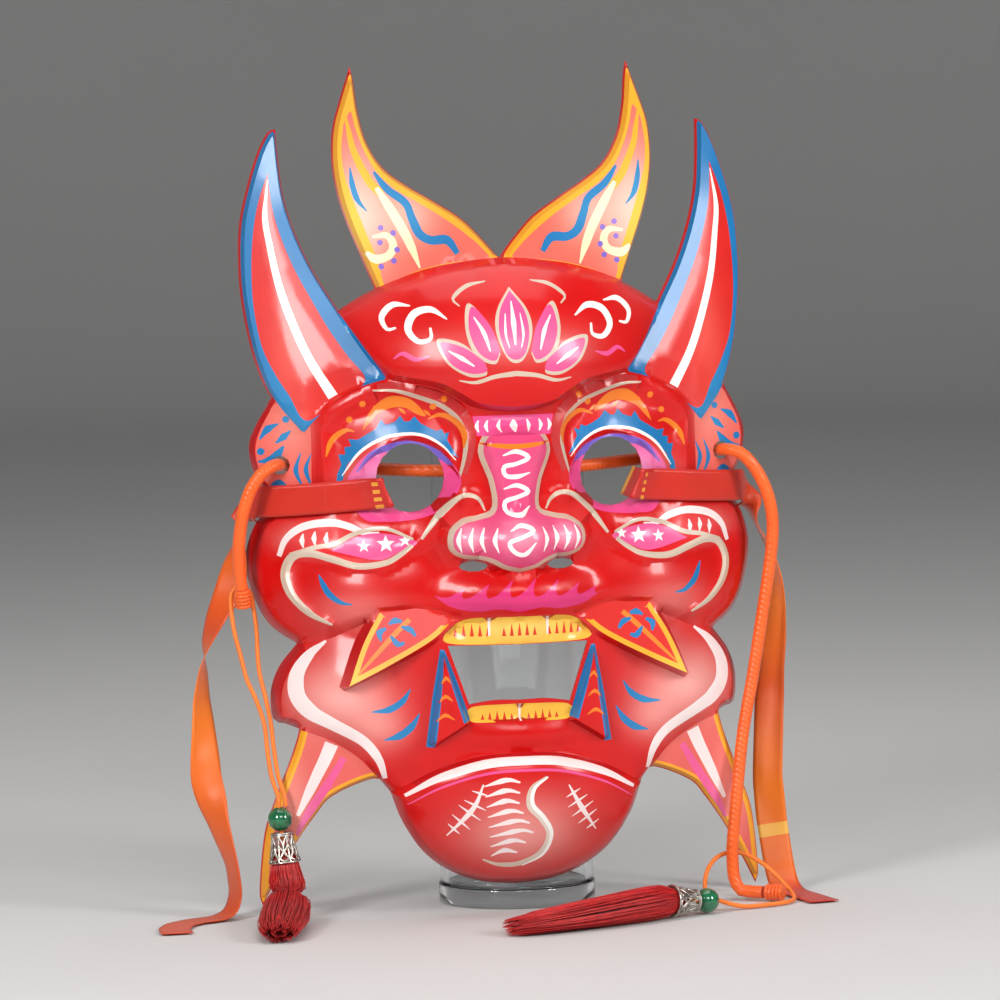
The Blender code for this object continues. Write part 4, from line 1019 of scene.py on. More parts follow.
def soft(x, z, centre_x, centre_z, half_x, half_z):
    """A soft lighter patch, partly airbrushed print and partly painted highlight, 1 at its centre."""
    reach = ((x - centre_x) / half_x) ** 2 + ((z - centre_z) / half_z) ** 2
    return np.exp(-1.6 * reach)


def airbrush_and_highlight_amount(x, z):
    """Where the lighter tone lies, from 0 to 1: partly airbrushed print, partly painted highlight."""
    return np.clip(sum(share * soft(np.abs(x), z, *patch) for share, *patch in AIRBRUSH_AND_HIGHLIGHT), 0, 1)


def sheet_mesh():
    """The sheet's flat triangles with the paint's edges cut in, to be raised to the front and to the back."""
    shells = shell_outlines(LINE_STEP)
    holes = hole_outlines()
    lines = crease_lines(LINE_STEP)
    layers = []
    for colour, outline, halves in PAINT:
        layers.append((colour, outline))
        if halves == "both":
            layers.append((colour, outline * [-1, 1]))
    points = []
    edges = []
    for outline in shells + holes + [outline for _, outline in layers]:
        start = len(points)
        points.extend(map(tuple, outline))
        edges.extend((start + i, start + (i + 1) % len(outline)) for i in range(len(outline)))
    for line in lines:
        start = len(points)
        points.extend(map(tuple, line))
        edges.extend((start + i, start + i + 1) for i in range(len(line) - 1))
    points.extend(map(tuple, lattice(LATTICE, np.array(points))))
    flat, _, faces, *_ = delaunay_2d_cdt([Vector(p) for p in points], edges, [], 0, MERGE)
    flat = np.array([tuple(v) for v in flat])
    faces = np.array([face for face in faces if len(face) == 3])
    centres = flat[faces].mean(axis=1)
    keep = on_sheet(shells, holes, *centres.T, 1.0)
    faces = faces[keep]
    centres = centres[keep]
    used = np.unique(faces)
    renumber = np.zeros(len(flat), int)
    renumber[used] = np.arange(len(used))
    return flat[used], renumber[faces], centres, layers, shells, holes


def build_sheet():
    flat, faces, centres, layers, shells, holes = sheet_mesh()
    x, z = flat.T
    front = face_depth(x, z)
    back = back_depth(x, z, front, shells, holes)
    names = list(PAINTS)
    index_of = {name: index for index, name in enumerate(names)}
    paint = np.full(len(faces), index_of["red"])
    (ax, az), (bx, bz) = [(flat[faces[:, k]] - flat[faces[:, 0]]).T for k in (1, 2)]
    rise_a, rise_b = [front[faces[:, k]] - front[faces[:, 0]] for k in (1, 2)]
    area = ax * bz - az * bx
    steep = np.hypot((bz * rise_a - az * rise_b) / area, (ax * rise_b - bx * rise_a) / area) > STEEP
    for colour, outline in layers:
        paint[signed_distance(outline, *centres.T, 1.0) > 0] = index_of[colour]
    # Steep walls low on the mask take the darker red as painted shade, unless a wall paint covers them
    walls = steep & (centres[:, 1] < WALLS_BELOW) & ~np.isin(paint, [index_of[name] for name in WALL_PAINTS])
    paint[walls] = index_of["painted_shade_red"]
    count = len(flat)
    points = [model_point(*p) for p in zip(x, z, front)] + [model_point(*p) for p in zip(x, z, back)]
    sides = [(a, b, b + count, a + count) for a, b in rim_edges(faces)]
    solid = [tuple(map(int, face)) for face in [*faces, *(faces[:, ::-1] + count), *sides]]
    materials = [paint_material("paint_" + name, *PAINTS[name]) for name in names]
    materials.append(paint_material("sheet_back", (0.5, 0.006, 0.008), (0.55, 0.02, 0.02), 0.38))
    slots = np.concatenate([paint, np.full(len(faces), len(names)), np.full(len(sides), index_of["red"])])
    piece = link_mesh("mask_face", points, solid, materials, slots)
    # The front takes the lighter tone, partly airbrushed print and partly painted highlight; the back takes
    # none
    airbrush_and_highlight = airbrush_and_highlight_amount(x, z)
    set_tone(piece.data, np.concatenate([airbrush_and_highlight, airbrush_and_highlight * 0]))
    clean(piece.data, 0, CREASE_ANGLE)
    return piece


dress(build_sheet(), "mask_sheet")


# Cords, knots, beads and caps

def cord_material(name, colour, turns):
    """A tightly laid satin cord: fine slanting threads across its length."""
    made, tree, shader = node_material(name)
    coords = noise_colour(tree, shader, colour, shaded(colour, 0.7), 90, 0.5)
    wave = add_node(tree, "TexWave", Scale=turns, Distortion=0.6)
    wave.wave_type = "BANDS"
    wave.bands_direction = "DIAGONAL"
    tree.links.new(coords.outputs["Object"], wave.inputs["Vector"])
    bump_from(tree, shader, wave, 0.35, 0.0003)
    set_inputs(shader, Roughness=0.38, Sheen_Weight=0.12, Anisotropic=0.4)
    return made


def smooth_route(points, count):
    """Evenly spaced points on one smooth curve through a route's own points."""
    rows = padded(np.array(points, float))
    spans = zip(rows, rows[1:], rows[2:], rows[3:])
    dense = [catmull(*span, t) for span in spans for t in np.arange(16) / 16]
    dense = np.array(dense + [rows[-2]])
    travelled = np.concatenate([[0], np.cumsum(np.linalg.norm(np.diff(dense, axis=0), axis=1))])
    wanted = np.linspace(0, travelled[-1], count)
    return np.column_stack([np.interp(wanted, travelled, dense[:, k]) for k in range(3)])


def route_length(points):
    return float(np.linalg.norm(np.diff(np.array(points, float), axis=0), axis=1).sum())


def wire_curve(name, radius, resolution, finish):
    """An empty curve for round wires; sizes in millimetres."""
    curve = bpy.data.curves.new(name, "CURVE")
    curve.dimensions = "3D"
    curve.bevel_depth = radius * MM
    curve.bevel_resolution = resolution
    curve.use_fill_caps = True
    curve.materials.append(finish)
    return curve


def add_wire(curve, path, closed=False):
    spline = curve.splines.new("POLY")
    spline.points.add(len(path) - 1)
    spline.use_cyclic_u = closed
    spline.use_smooth = True
    for target, point in zip(spline.points, path):
        target.co = (*point, 1)


def tube(name, route, diameter, finish, spacing):
    """A round cord as a curve, and its points in metres."""
    count = max(8, round(route_length(route) / spacing))
    path = [model_point(*point) for point in smooth_route(route, count)]
    curve = wire_curve(name, diameter / 2, 4, finish)
    add_wire(curve, path)
    return link(name, curve), path


# Routes of the cords, in the mask's frame, as (x, z, depth)
EAR_CORD_LEFT_END = [(-99.5, 124, 4.6), (-100.6, 132, 6.4), (-100.4, 143, 8.6), (-98.6, 154, 10.6),
                     (-95.2, 163, 11.8), (-90.4, 168.6, 12), (-86.4, 170.2, 9.6)]
EAR_CORD_BEHIND = [(-84, 170, 5), (-81, 169.6, 0.4), (-74, 169, -1.4), (-62, 168.2, 1.6), (-38, 166.8, 9.4),
                   (-14, 166, 15.6), (5, 165.8, 18.1), (20, 166, 16.2), (40, 166.8, 8.8), (62, 168.2, 1.6),
                   (74, 169, -1.4), (81, 169.6, 0.4), (84, 170, 5)]
EAR_CORD_RIGHT_END = [(86.4, 170.2, 9.6), (91, 168.6, 12), (96.4, 162, 12.6), (100.8, 152, 12),
                      (102.4, 140, 11), (100.6, 124, 10.6), (97, 104, 11), (93.2, 84, 12),
                      (88.8, 64, 14), (86, 46, 16), (84.2, 32, 17.4), (83, 22, 17.8), (82.8, 14, 17.8),
                      (83.4, 7.4, 18.2), (85.4, 3.8, 19.4), (88.6, 3.3, 21.4), (93, 3.3, 24.6)]
LEFT_BEAD = (-88.7, 38, 15)
LEFT_HANG = (0.08, -1, 0.06)
LEFT_STRANDS = [(-89.2, 46.5, 14.6), (-91.2, 54, 12), (-92.2, 64, 9.5), (-92.8, 73, 7.5), (-95.4, 82, 6),
                (-98.6, 90, 4.5), (-100.4, 98, 3.6), (-102.6, 108, 2.6), (-103.4, 117, 1.3),
                (-102.8, 122, -0.6), (-99.4, 125, -2.2), (-95.8, 122, -0.4), (-95.1, 117, 1.5),
                (-94.2, 108, 2.6), (-93.9, 94, 4), (-91.7, 82, 5.8), (-90.3, 73, 7.4), (-89.7, 64, 9.4),
                (-88.7, 54, 12), (-87, 47.5, 14.4), (-86.4, 42.8, 15)]
RIGHT_BEAD = (66.4, 4.9, 50)
RIGHT_LIE = (-0.9, 0.09, 0.4)
RIGHT_STRANDS = [(76.5, 2.4, 45.6), (82, 1.1, 44), (88, 1, 42.5), (94.6, 1, 40), (100.4, 1, 36),
                 (103.8, 1.4, 30), (103, 4, 23.4), (98.6, 9.5, 17.8), (93.4, 14, 14.8), (88, 16.8, 14),
                 (83, 17.6, 13.7), (78, 16.6, 15.6), (74, 14.4, 20), (70.8, 11, 26), (69, 7, 33),
                 (68.6, 6.4, 39.5), (68.6, 7.2, 44)]

# Ribbons: centre as (x, z, depth) and the direction of the width, as degrees from x towards depth
LEFT_RIBBON = [(-98, 141, -8.4, 82), (-100, 133, -8.6, 50), (-102, 124, -8.2, 23), (-108, 113, -7, 54),
               (-112.3, 103, -6, 79), (-113.8, 94, -5, 110), (-115, 82, -4, 128), (-114.6, 67, -3, 149),
               (-114.3, 52, -2, 180), (-110.4, 36, 0, 232), (-106, 20, 3, 252), (-105, 9, 5, 252)]
LEFT_RIBBON_END = [(-107, 2.6, 6, 252), (-112, 0.7, 8, 249), (-121, 0.7, 12.4, 234), (-128, 0.7, 20, 214),
                   (-131.4, 0.7, 31, 190), (-131, 0.7, 42, 178)]
RIGHT_RIBBON = [(99.4, 141, -8.8, 96), (104, 133, -8.4, 88), (106.6, 125, -7, 88), (107.4, 118, -6.4, 80),
                (106.7, 110, -6, 65), (105.6, 96.5, -6, 52), (104.3, 84, -6, 50), (103.1, 73.7, -6, 30),
                (101.8, 43.3, -6, 26), (103, 27.4, -6, 4), (103.9, 19.8, -5.6, 0), (105.2, 9.1, -4, 0)]
RIGHT_RIBBON_END = [(106, 2.8, -0.6, 0), (107.2, 0.7, 5, 0), (110.6, 0.7, 20, -8), (114, 0.7, 38, -10)]


def unit(vector):
    vector = np.array(vector, float)
    return vector / np.linalg.norm(vector)


def strand_route(bead_centre, along, strands):
    """A thin cord from inside the cap, up through the bead, round its loop and back to the bead."""
    centre = np.array(bead_centre, float)
    inside = [centre + unit(along) * reach for reach in (8.4, 4, 0, -5)]
    return [tuple(point) for point in inside] + strands


def tassel_sections(bead_centre, along, path):
    """Cross-sections down a tassel: its neck inside the cap, then the path's own centres and sizes."""
    start = np.array(bead_centre, float) + unit(along) * (BEAD_R + GAP)
    centres = [start + unit(along) * reach for reach in (7.2, CAP_H)]
    sizes = [(3.2, 3.2), (4.7, 4.7)]
    centres += [np.array(row[:3], float) for row in path]
    sizes += [row[3:] for row in path]
    result = []
    for index, (centre, (half_w, half_h)) in enumerate(zip(centres, sizes)):
        low = centres[max(0, index - 1)]
        high = centres[min(len(centres) - 1, index + 1)]
        run = unit(high - low)
        across = unit(np.cross(run, (0, 1, 0.001)) if abs(run[1]) < 0.7 else np.cross(run, (0, 0.3, -1)))
        upward = unit(np.cross(across, run))
        result.append((centre, across, upward, half_w, half_h))
    return result


# Tassels below their caps: centre as (x, z, depth), half width and half height
LEFT_TASSEL = [(-87.3, 17.5, 16.6, 5.8, 5.6), (-87.2, 12.4, 19.4, 7, 6), (-88, 8.4, 25, 8, 5.8),
               (-89.4, 6.2, 33, 8.8, 5.4), (-91.6, 5.2, 44, 9.2, 4.8), (-94, 4.6, 56, 8.6, 4.2),
               (-96, 4, 67, 7.6, 3.6), (-97.2, 3.4, 75, 6, 3)]
RIGHT_TASSEL = [(48.2, 6.6, 58.2, 6, 5.8), (42, 6.4, 61, 7.6, 6), (32, 6, 65, 9, 5.7),
                (20, 5.4, 70, 9.8, 5.1), (8, 4.8, 75, 9.6, 4.5), (-4, 4.1, 79.6, 8.2, 3.8),
                (-14, 3.3, 83, 5.6, 3)]


def ribbon_on_cheek(side):
    """The part of a ribbon from behind the eye hole, over rim and cheek, and round the side edge."""
    rows = [(45.8, 160.6, 14, 0.5), (46.3, 160.4, 20, 0.5), (46.8, 160.2, 26, 0.5), (47, 160.1, 30.6, 0.5)]
    for x in (50.4, 54, 58, 62, 66, 70, 74, 78, 82, 86, 89):
        z = 159.6 - 0.08 * (x - 50)
        across = np.linspace(-RIBBON_W / 2, RIBBON_W / 2, 7)
        near = [face_depth(np.full(7, x + aside), z + across).max() for aside in (-2, 0, 2)]
        rows.append((x, z, max(near) + (2.2 if x < 53 else 1.4), max(0, 0.4 - 0.08 * (x - 50))))
    last = rows[-1]
    rows += [(92.6, 156.4, last[2] - 3.4, 0), (94.2, 155.4, last[2] - 8.4, 0), (95.4, 152, -6, 0)]
    points = [(side * x, z, depth) for x, z, depth, _ in rows]
    widths = [(side * lean, 1.0, 0.0) for _, _, _, lean in rows]
    return points, widths


cord_finish = cord_material("satin_cord", (0.9, 0.12, 0.008), 260)
strand_finish = cord_material("twisted_strand", (0.95, 0.2, 0.012), 620)

ear_route = EAR_CORD_LEFT_END + EAR_CORD_BEHIND + EAR_CORD_RIGHT_END
ear_cord, ear_path = tube("ear_cord_satin", ear_route, CORD_D, cord_finish, 3.0)
dress(ear_cord, "ear_cord")


def turned_piece(name, profile, segments, finish):
    """A piece turned about its own Z from a profile of (radius, height) in millimetres."""
    mesh = bpy.data.meshes.new(name)
    points = [(radius * MM, 0, height * MM) for radius, height in profile]
    edges = [(k, k + 1) for k in range(len(points) - 1)]
    if profile[0][0] > 0 and profile[-1][0] > 0:
        edges.append((len(points) - 1, 0))
    mesh.from_pydata(points, edges, [])
    mesh.materials.append(finish)
    piece = link(name, mesh)
    screw = piece.modifiers.new("turn", "SCREW")
    screw.steps = segments
    screw.render_steps = segments
    screw.use_merge_vertices = True
    screw.merge_threshold = 1e-6
    result = mesh_of(piece)
    piece.modifiers.clear()
    piece.data = result
    clean(result, 1e-7, 40)
    return piece


def place(piece, centre, along):
    """Stand a turned piece on its centre point, its own Z along a direction, both as (x, z, depth)."""
    x, z, depth = along
    direction = Vector((x, -depth, z)).normalized()
    turn = Vector((0, 0, 1)).rotation_difference(direction)
    matrix = Matrix.Translation(Vector(model_point(*centre))) @ turn.to_matrix().to_4x4()
    piece.data.transform(matrix)
    return piece


def cord_end(route, spacing):
    """Where the cord's plain solid ends, and its direction there."""
    points = smooth_route(route, max(6, round(route_length(route) / spacing)))
    return points[0], unit(points[0] - points[1]), points[-1], unit(points[-1] - points[-2])


def knot_profile():
    half = KNOT_H / 2
    turns = 5
    profile = [(0, -half), (KNOT_R * 0.7, -half)]
    for turn in range(turns):
        low = -half + KNOT_H * turn / turns
        for step in range(7):
            angle = math.pi * step / 6
            radius = KNOT_R * (0.84 + 0.16 * math.sin(angle))
            profile.append((radius, low + KNOT_H / turns * (0.5 - 0.5 * math.cos(angle))))
    profile += [(KNOT_R * 0.7, half), (0, half)]
    cleaned = [profile[0]]
    for point in profile[1:]:
        if math.dist(point, cleaned[-1]) > 1e-6:
            cleaned.append(point)
    return cleaned


start, start_run, end, end_run = cord_end(ear_route, 2.4 * CORD_D)
end_run = unit((end_run[0], 0, end_run[2]))
resting = np.array((end[0], KNOT_R + GAP, end[2]))
for name, centre, along in (("knot_left", start + start_run * (KNOT_H / 2 + GAP), start_run),
                            ("knot_right", resting + end_run * (KNOT_H / 2 + 4 * GAP), end_run)):
    knot = place(turned_piece(name + "_wound", knot_profile(), 40, cord_finish), centre, along)
    dress(knot, name)

bead_finish = grainy_material("bead_green", (0.004, 0.09, 0.035), (0.01, 0.2, 0.07), 320, 0.8,
                              (900, 0.04, 0.0002), Roughness=0.08, Coat_Weight=1.0, Coat_Roughness=0.04)
silver_finish = grainy_material("cap_silver", (0.72, 0.69, 0.63), (0.22, 0.19, 0.15), 420, 0.75,
                                (600, 0.3, 0.0004), Metallic=1.0, Roughness=0.3)


def cap_radius(share):
    """The bell's mid-wall radius, from its rim at 0 to its top at 1."""
    return CAP_RIM_R - CAP_WALL / 2 + (CAP_TOP_R - CAP_RIM_R) * (1 - (1 - share) ** 1.7)


def filigree_cap(name):
    """A bell of silver wire: rings, crossing leaves and a scalloped rim. Its own Z points to its rim."""
    curve = wire_curve(name, CAP_WALL * 0.42, 2, silver_finish)
    bars = 8
    around = 48

    def wire(angles, shares, closed=False):
        path = []
        for angle, share in zip(angles, shares):
            radius = cap_radius(share) * MM
            height = (CAP_WALL / 2 + (1 - share) * (CAP_H - CAP_WALL)) * MM
            path.append((radius * math.cos(angle), radius * math.sin(angle), height))
        add_wire(curve, path, closed)

    turns = [2 * math.pi * k / around for k in range(around)]
    for share in (0.0, 0.93, 1.0):
        wire(turns, [share] * around, True)
    wire(turns, [0.1 + 0.05 * math.cos(bars * turn) for turn in turns], True)
    steps = [k / 12 for k in range(13)]
    for bar in range(bars):
        middle = 2 * math.pi * bar / bars
        half = math.pi / bars
        wire([middle] * len(steps), steps)
        for side in (1, -1):
            leaf = [middle + side * half * math.sin(math.pi * step) for step in steps]
            wire(leaf, [0.12 + 0.8 * step for step in steps])
            wire([middle + side * half * 2 * step for step in steps], [0.1 + 0.5 * step for step in steps])
    source = link(name + "_wires", curve)
    mesh = mesh_of(source)
    bpy.data.objects.remove(source)
    return link(name, mesh)


def silk_material(name, colour, light):
    return grainy_material(name, colour, light, 260, 0.7, (1500, 0.2, 0.0002),
                           Roughness=0.42, Sheen_Weight=0.06, Anisotropic=0.5)


silk_finish = silk_material("tassel_silk", (0.42, 0.003, 0.006), (0.66, 0.014, 0.01))
# The core's darker red is painted shade between the threads
painted_shade_core = silk_material("tassel_painted_shade_core", (0.22, 0.003, 0.006), (0.3, 0.006, 0.01))


def section_at(sections, share):
    """A tassel's section part way along, between the two nearest in its table."""
    position = share * (len(sections) - 1)
    low = min(int(position), len(sections) - 2)
    mix = position - low
    return [np.array(a, float) * (1 - mix) + np.array(b, float) * mix
            for a, b in zip(sections[low], sections[low + 1])]


def tassel_piece(name, sections, seed):
    """Silk threads drawn through a tassel's sections round a core in darker red, painted shade between the
    threads, as one mesh.
    """
    rng = np.random.default_rng(seed)
    points = []
    sides = 24
    rows = 26
    for row in range(rows):
        centre, across, upward, half_w, half_h = section_at(sections, CORE_REACH * row / (rows - 1))
        taper = CORE_WIDTH * math.sqrt(max(1 - (row / (rows - 1)) ** 8, 0.01))
        for k in range(sides):
            angle = 2 * math.pi * k / sides
            offset = (across * half_w * math.cos(angle) + upward * half_h * math.sin(angle)) * taper
            points.append(model_point(*(centre + offset)))
    faces = ring_faces(0, rows, sides)
    faces.append(tuple(range(sides)))
    faces.append(tuple(range((rows - 1) * sides, rows * sides)))
    core_faces = len(faces)
    threads = 330
    steps = 18
    for thread in range(threads):
        angle = 2 * math.pi * (thread + rng.uniform(-0.4, 0.4)) / threads
        layer = rng.uniform(0.76, 1.0)
        reach = 1 - 0.16 * rng.random() ** 2
        inner = thread % 3 == 0
        drift = rng.uniform(-0.3, 0.3)
        thick = rng.uniform(0.45, 0.75)
        wave = rng.uniform(2, 6)
        first = len(points)
        for step in range(steps):
            share = reach * step / (steps - 1)
            centre, across, upward, half_w, half_h = section_at(sections, share)
            turn = angle + drift * share + 0.05 * share * math.sin(wave * share + thread)
            outward = across * math.cos(turn) + upward * math.sin(turn)
            sideways = across * -math.sin(turn) + upward * math.cos(turn)
            bulge = layer + 0.05 * math.sin(wave * 2 * share + 1.7 * thread)
            if inner:
                bulge *= 1 - 0.6 * share ** 2
            spread = across * half_w * math.cos(turn) + upward * half_h * math.sin(turn)
            middle = centre + spread * min(bulge, 1.02)
            size = thick * (1 - 0.7 * share ** 8)
            for out, aside in ((1, 0), (-0.5, 0.87), (-0.5, -0.87)):
                corner = middle + outward * out * size * 0.5 + sideways * aside * size * 0.5
                x, y, z = model_point(*corner)
                points.append((x, y, max(z, 0.0001)))
        faces += ring_faces(first, steps, 3)
        faces.append((first, first + 2, first + 1))
        last = first + (steps - 1) * 3
        faces.append((last, last + 1, last + 2))
    slots = [1] * core_faces + [0] * (len(faces) - core_faces)
    piece = link_mesh(name, points, faces, (silk_finish, painted_shade_core), slots)
    piece.data.shade_smooth()
    return piece


for side, centre, along, strands, path, seed in (
        ("left", LEFT_BEAD, LEFT_HANG, LEFT_STRANDS, LEFT_TASSEL, 3),
        ("right", RIGHT_BEAD, RIGHT_LIE, RIGHT_STRANDS, RIGHT_TASSEL, 5)):
    low = math.asin(BEAD_BORE / BEAD_R)
    angles = [low + (math.pi - 2 * low) * k / 22 for k in range(23)]
    arc = [(BEAD_R * math.sin(angle), -BEAD_R * math.cos(angle)) for angle in angles]
    bead = place(turned_piece("bead_%s_glass" % side, arc, 48, bead_finish), centre, along)
    tassel = tassel_piece("tassel_%s_silk" % side, tassel_sections(centre, along, path), seed)
    route = strand_route(centre, along, strands)
    loop, loop_path = tube("loop_cord_%s_twist" % side, route, STRAND_D, strand_finish, 1.6)
    top = np.array(centre, float) + unit(along) * (BEAD_R + GAP)
    cap = place(filigree_cap("cap_%s_filigree" % side), top, along)
    dress(bead, "bead_" + side)
    dress(tassel, "tassel_" + side)
    dress(cap, "cap_" + side)
    dress(loop, "loop_cord_" + side)


# Ribbons

def ribbon_material(name, colour, light):
    """Satin ribbon: a red that turns golden where its tone is high, as painted sheen, and a bright diagonal
    sheen over fine cross threads.
    """
    made, tree, shader = node_material(name)
    coords = noise_colour(tree, shader, colour, shaded(colour, 0.8), 45, 0.5, light)
    wave = add_node(tree, "TexWave", Scale=1.0)
    wave.wave_type = "BANDS"
    wave.bands_direction = "X"
    flow = add_node(tree, "Mapping", Scale=(220, 1, 1))
    tree.links.new(coords.outputs["UV"], flow.inputs["Vector"])
    tree.links.new(flow.outputs["Vector"], wave.inputs["Vector"])
    bump_from(tree, shader, wave, 0.25, 0.0002)
    set_inputs(shader, Roughness=0.34, Sheen_Weight=0.1, Anisotropic=0.5)
    return made


# The second colour of each ribbon finish is painted sheen, brought in along the ribbon by its tones
ribbon_finish = ribbon_material("ribbon_satin", (0.56, 0.01, 0.004), (0.92, 0.22, 0.01))
stitch_finish = ribbon_material("ribbon_stitch", (0.85, 0.36, 0.03), (0.9, 0.5, 0.08))


def ribbon_piece(name, side, hanging, ending, stitched, tones):
    """A satin ribbon; its tones are (share of its length, how far the light turns it golden)."""
    centres, widths = ribbon_on_cheek(side)
    centres = centres + [row[:3] for row in hanging + ending]
    widths = widths + [(math.cos(math.radians(row[3])), 0, math.sin(math.radians(row[3])))
                       for row in hanging + ending]
    centres = np.array(centres, float)
    widths = np.array(widths, float)
    length = route_length(centres)
    travelled = np.concatenate([[0], np.cumsum(np.linalg.norm(np.diff(centres, axis=0), axis=1))])
    rows = 170
    columns = 9
    wanted = np.linspace(0, length, rows)
    kernel = np.array([1, 2, 3, 2, 1], float) / 9
    centre = np.column_stack([np.interp(wanted, travelled, centres[:, k]) for k in range(3)])
    width = np.column_stack([np.interp(wanted, travelled, widths[:, k]) for k in range(3)])
    for track in (centre, width):
        for k in range(3):
            longer = np.concatenate([[track[0, k]] * 2, track[:, k], [track[-1, k]] * 2])
            track[:, k] = np.convolve(longer, kernel, "valid")
    points = []
    stitch_rows = []
    for row in range(rows):
        run = unit(centre[min(row + 1, rows - 1)] - centre[max(row - 1, 0)])
        across = unit(width[row] - run * np.dot(width[row], run))
        normal = np.cross(run, across)
        for column in range(columns):
            share = column / (columns - 1) * 2 - 1
            cup = 0.22 * (share * share - 0.4) * math.sin(row * 0.11)
            corner = centre[row] + across * share * (RIBBON_W / 2 - 0.15) + normal * cup
            x, y, z = model_point(*corner)
            points.append((x, y, max(z, 0.0003)))
        stitch_rows.append(row < 3 or stitched is not None and abs(centre[row][1] - stitched) < 2.3)
    faces = []
    slots = []
    for row in range(rows - 1):
        for column in range(columns - 1):
            a = row * columns + column
            faces.append((a, a + 1, a + columns + 1, a + columns))
            at_fold = row < rows // 4 and abs(abs(centre[row][0]) - RIBBON_FOLD_X) < 0.9 and column % 2 == 0
            slots.append(1 if stitch_rows[row] or at_fold else 0)
    piece = link_mesh(name, points, faces, (ribbon_finish, stitch_finish), slots)
    mesh = piece.data
    set_tone(mesh, np.repeat(np.interp(np.linspace(0, 1, rows), *zip(*tones)), columns))
    layer = mesh.uv_layers.new(name="UVMap")
    for corner, uv in zip(mesh.loops, layer.data):
        uv.uv = (corner.vertex_index // columns / rows, corner.vertex_index % columns / columns)
    mesh.shade_smooth()
    thick = piece.modifiers.new("thickness", "SOLIDIFY")
    thick.thickness = RIBBON_SATIN * MM
    thick.offset = 0
    dress(piece, "ribbon_left" if side < 0 else "ribbon_right")


ribbon_piece("ribbon_left_satin", -1, LEFT_RIBBON, LEFT_RIBBON_END, None,
             [(0, 0.25), (0.03, 0), (0.28, 0.05), (0.36, 0.5), (0.45, 0.25), (0.56, 0.9),
              (0.66, 0.55), (0.8, 0.3), (1, 0.2)])
ribbon_piece("ribbon_right_satin", 1, RIGHT_RIBBON, RIGHT_RIBBON_END, 24.0,
             [(0, 0.25), (0.03, 0), (0.28, 0.05), (0.36, 0.5), (0.46, 0.85), (0.58, 0.35),
              (0.72, 0.9), (0.84, 0.6), (0.88, 0.1), (1, 0.05)])


# The stand

def clear_material():
    made, tree, shader = node_material("clear_acrylic")
    set_inputs(shader, Base_Color=(0.96, 0.98, 0.99, 1), Roughness=0.03, Transmission_Weight=1.0, IOR=1.49)
    fine_bump(tree, shader, add_node(tree, "TexCoord"), 60, 0.03, 0.0003)
    return made


clear_finish = clear_material()
foot_profile = [
    (0, 0), (FOOT_R - 0.6, 0), (FOOT_R - 0.15, 0.2), (FOOT_R, 0.6),
    (FOOT_R, FOOT_H - 0.6), (FOOT_R - 0.15, FOOT_H - 0.2), (FOOT_R - 0.6, FOOT_H), (0, FOOT_H),
]
foot = turned_piece("stand_disc", foot_profile, 128, clear_finish)
bore = TUBE_R - TUBE_WALL
low = FOOT_H + GAP
wall_profile = [
    (bore, low + 0.2), (bore + 0.2, low), (TUBE_R - 0.2, low), (TUBE_R, low + 0.2),
    (TUBE_R, TUBE_TOP - 0.3), (TUBE_R - 0.3, TUBE_TOP), (bore + 0.3, TUBE_TOP), (bore, TUBE_TOP - 0.3),
]
wall = turned_piece("stand_pipe", wall_profile, 128, clear_finish)
dress(foot, "stand_base")
dress(wall, "stand_tube")


# Floor, light and camera

def stage_material():
    made, tree, shader = node_material("studio_floor")
    noise_colour(tree, shader, (0.62, 0.61, 0.6), (0.58, 0.57, 0.56), 3, 0.4)
    set_inputs(shader, Roughness=0.8)
    return made


# The floor lies this far, in metres, below the stand
FLOOR_DROP = 0.0002


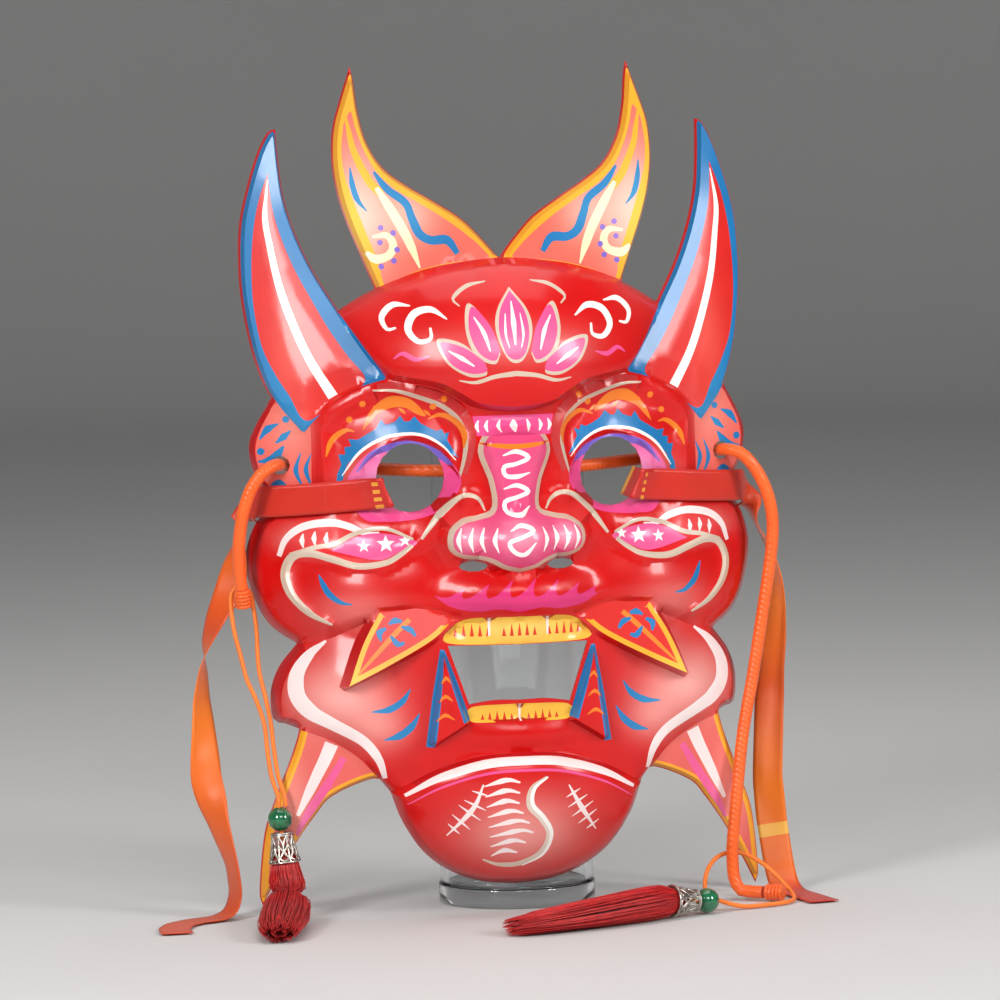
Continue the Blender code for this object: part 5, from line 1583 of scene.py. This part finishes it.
def add_stage():
    """A round floor that curves up into a wall all round, so that every view has a plain ground."""
    flat = 3.0
    bend = 0.8
    steps = 12
    around = 96
    profile = [(0.8 * flat, 0), (0.97 * flat, 0)]
    for step in range(steps + 1):
        angle = math.pi / 2 * step / steps
        profile.append((flat + bend * math.sin(angle), bend - bend * math.cos(angle)))
    profile.append((flat + bend, 3.0))
    turns = [2 * math.pi * k / around for k in range(around)]
    points = [(r * math.cos(turn), r * math.sin(turn), z - FLOOR_DROP) for r, z in profile for turn in turns]
    faces = [tuple(range(around))]
    faces += [(a, d, c, b) for a, b, c, d in ring_faces(0, len(profile), around)]
    floor = link_mesh("floor", points, faces, [stage_material()], [0] * len(faces))
    floor.data.shade_smooth()


def area_light(name, location, target, size, power):
    light = bpy.data.lights.new(name, "AREA")
    light.shape = "RECTANGLE"
    light.size = size[0]
    light.size_y = size[1]
    light.energy = power
    lamp = link(name, light)
    lamp.location = location
    lamp.rotation_euler = (Vector(target) - Vector(location)).to_track_quat("-Z", "Y").to_euler()


add_stage()
area_light("key_left", (-0.8, -0.9, 0.62), (0, -0.02, 0.18), (0.3, 0.42), 10)
area_light("key_right", (0.85, -0.85, 0.56), (0, -0.02, 0.18), (0.26, 0.42), 8)
area_light("front_fill", (0.1, -2.6, 1.5), (0, -0.02, 0.16), (1.2, 0.8), 22)
area_light("top", (0, 0.1, 1.5), (0, -0.02, 0.1), (1.2, 1.0), 9)

world = bpy.data.worlds.new("studio")
world.use_nodes = True
world.node_tree.nodes["Background"].inputs["Color"].default_value = (0.8, 0.82, 0.85, 1)
world.node_tree.nodes["Background"].inputs["Strength"].default_value = 0.2
bpy.context.scene.world = world
bpy.context.scene.view_settings.view_transform = "Standard"

# The photograph's view: 9 degrees to the mask's right, from 2.2 m away and a little above, slightly tilted
VIEW_AZIMUTH = math.radians(-9)
VIEW_DISTANCE = 2.2
VIEW_HEIGHT = 0.318
AIM = Vector((-0.0053, -0.015, 0.1536))
FOCAL = 210.5
ROLL = math.radians(-1.4)
lens = bpy.data.cameras.new("photo_view")
lens.lens = FOCAL
lens.sensor_width = 36
lens.clip_start = 0.05
camera = link("photo_view", lens)
aside = VIEW_DISTANCE * math.sin(VIEW_AZIMUTH)
back = VIEW_DISTANCE * math.cos(VIEW_AZIMUTH)
spot = Vector((AIM.x + aside, AIM.y - back, VIEW_HEIGHT))
look = (AIM - spot).to_track_quat("-Z", "Y").to_matrix().to_4x4()
camera.matrix_world = Matrix.Translation(spot) @ look @ Matrix.Rotation(ROLL, 4, "Z")
bpy.context.scene.camera = camera
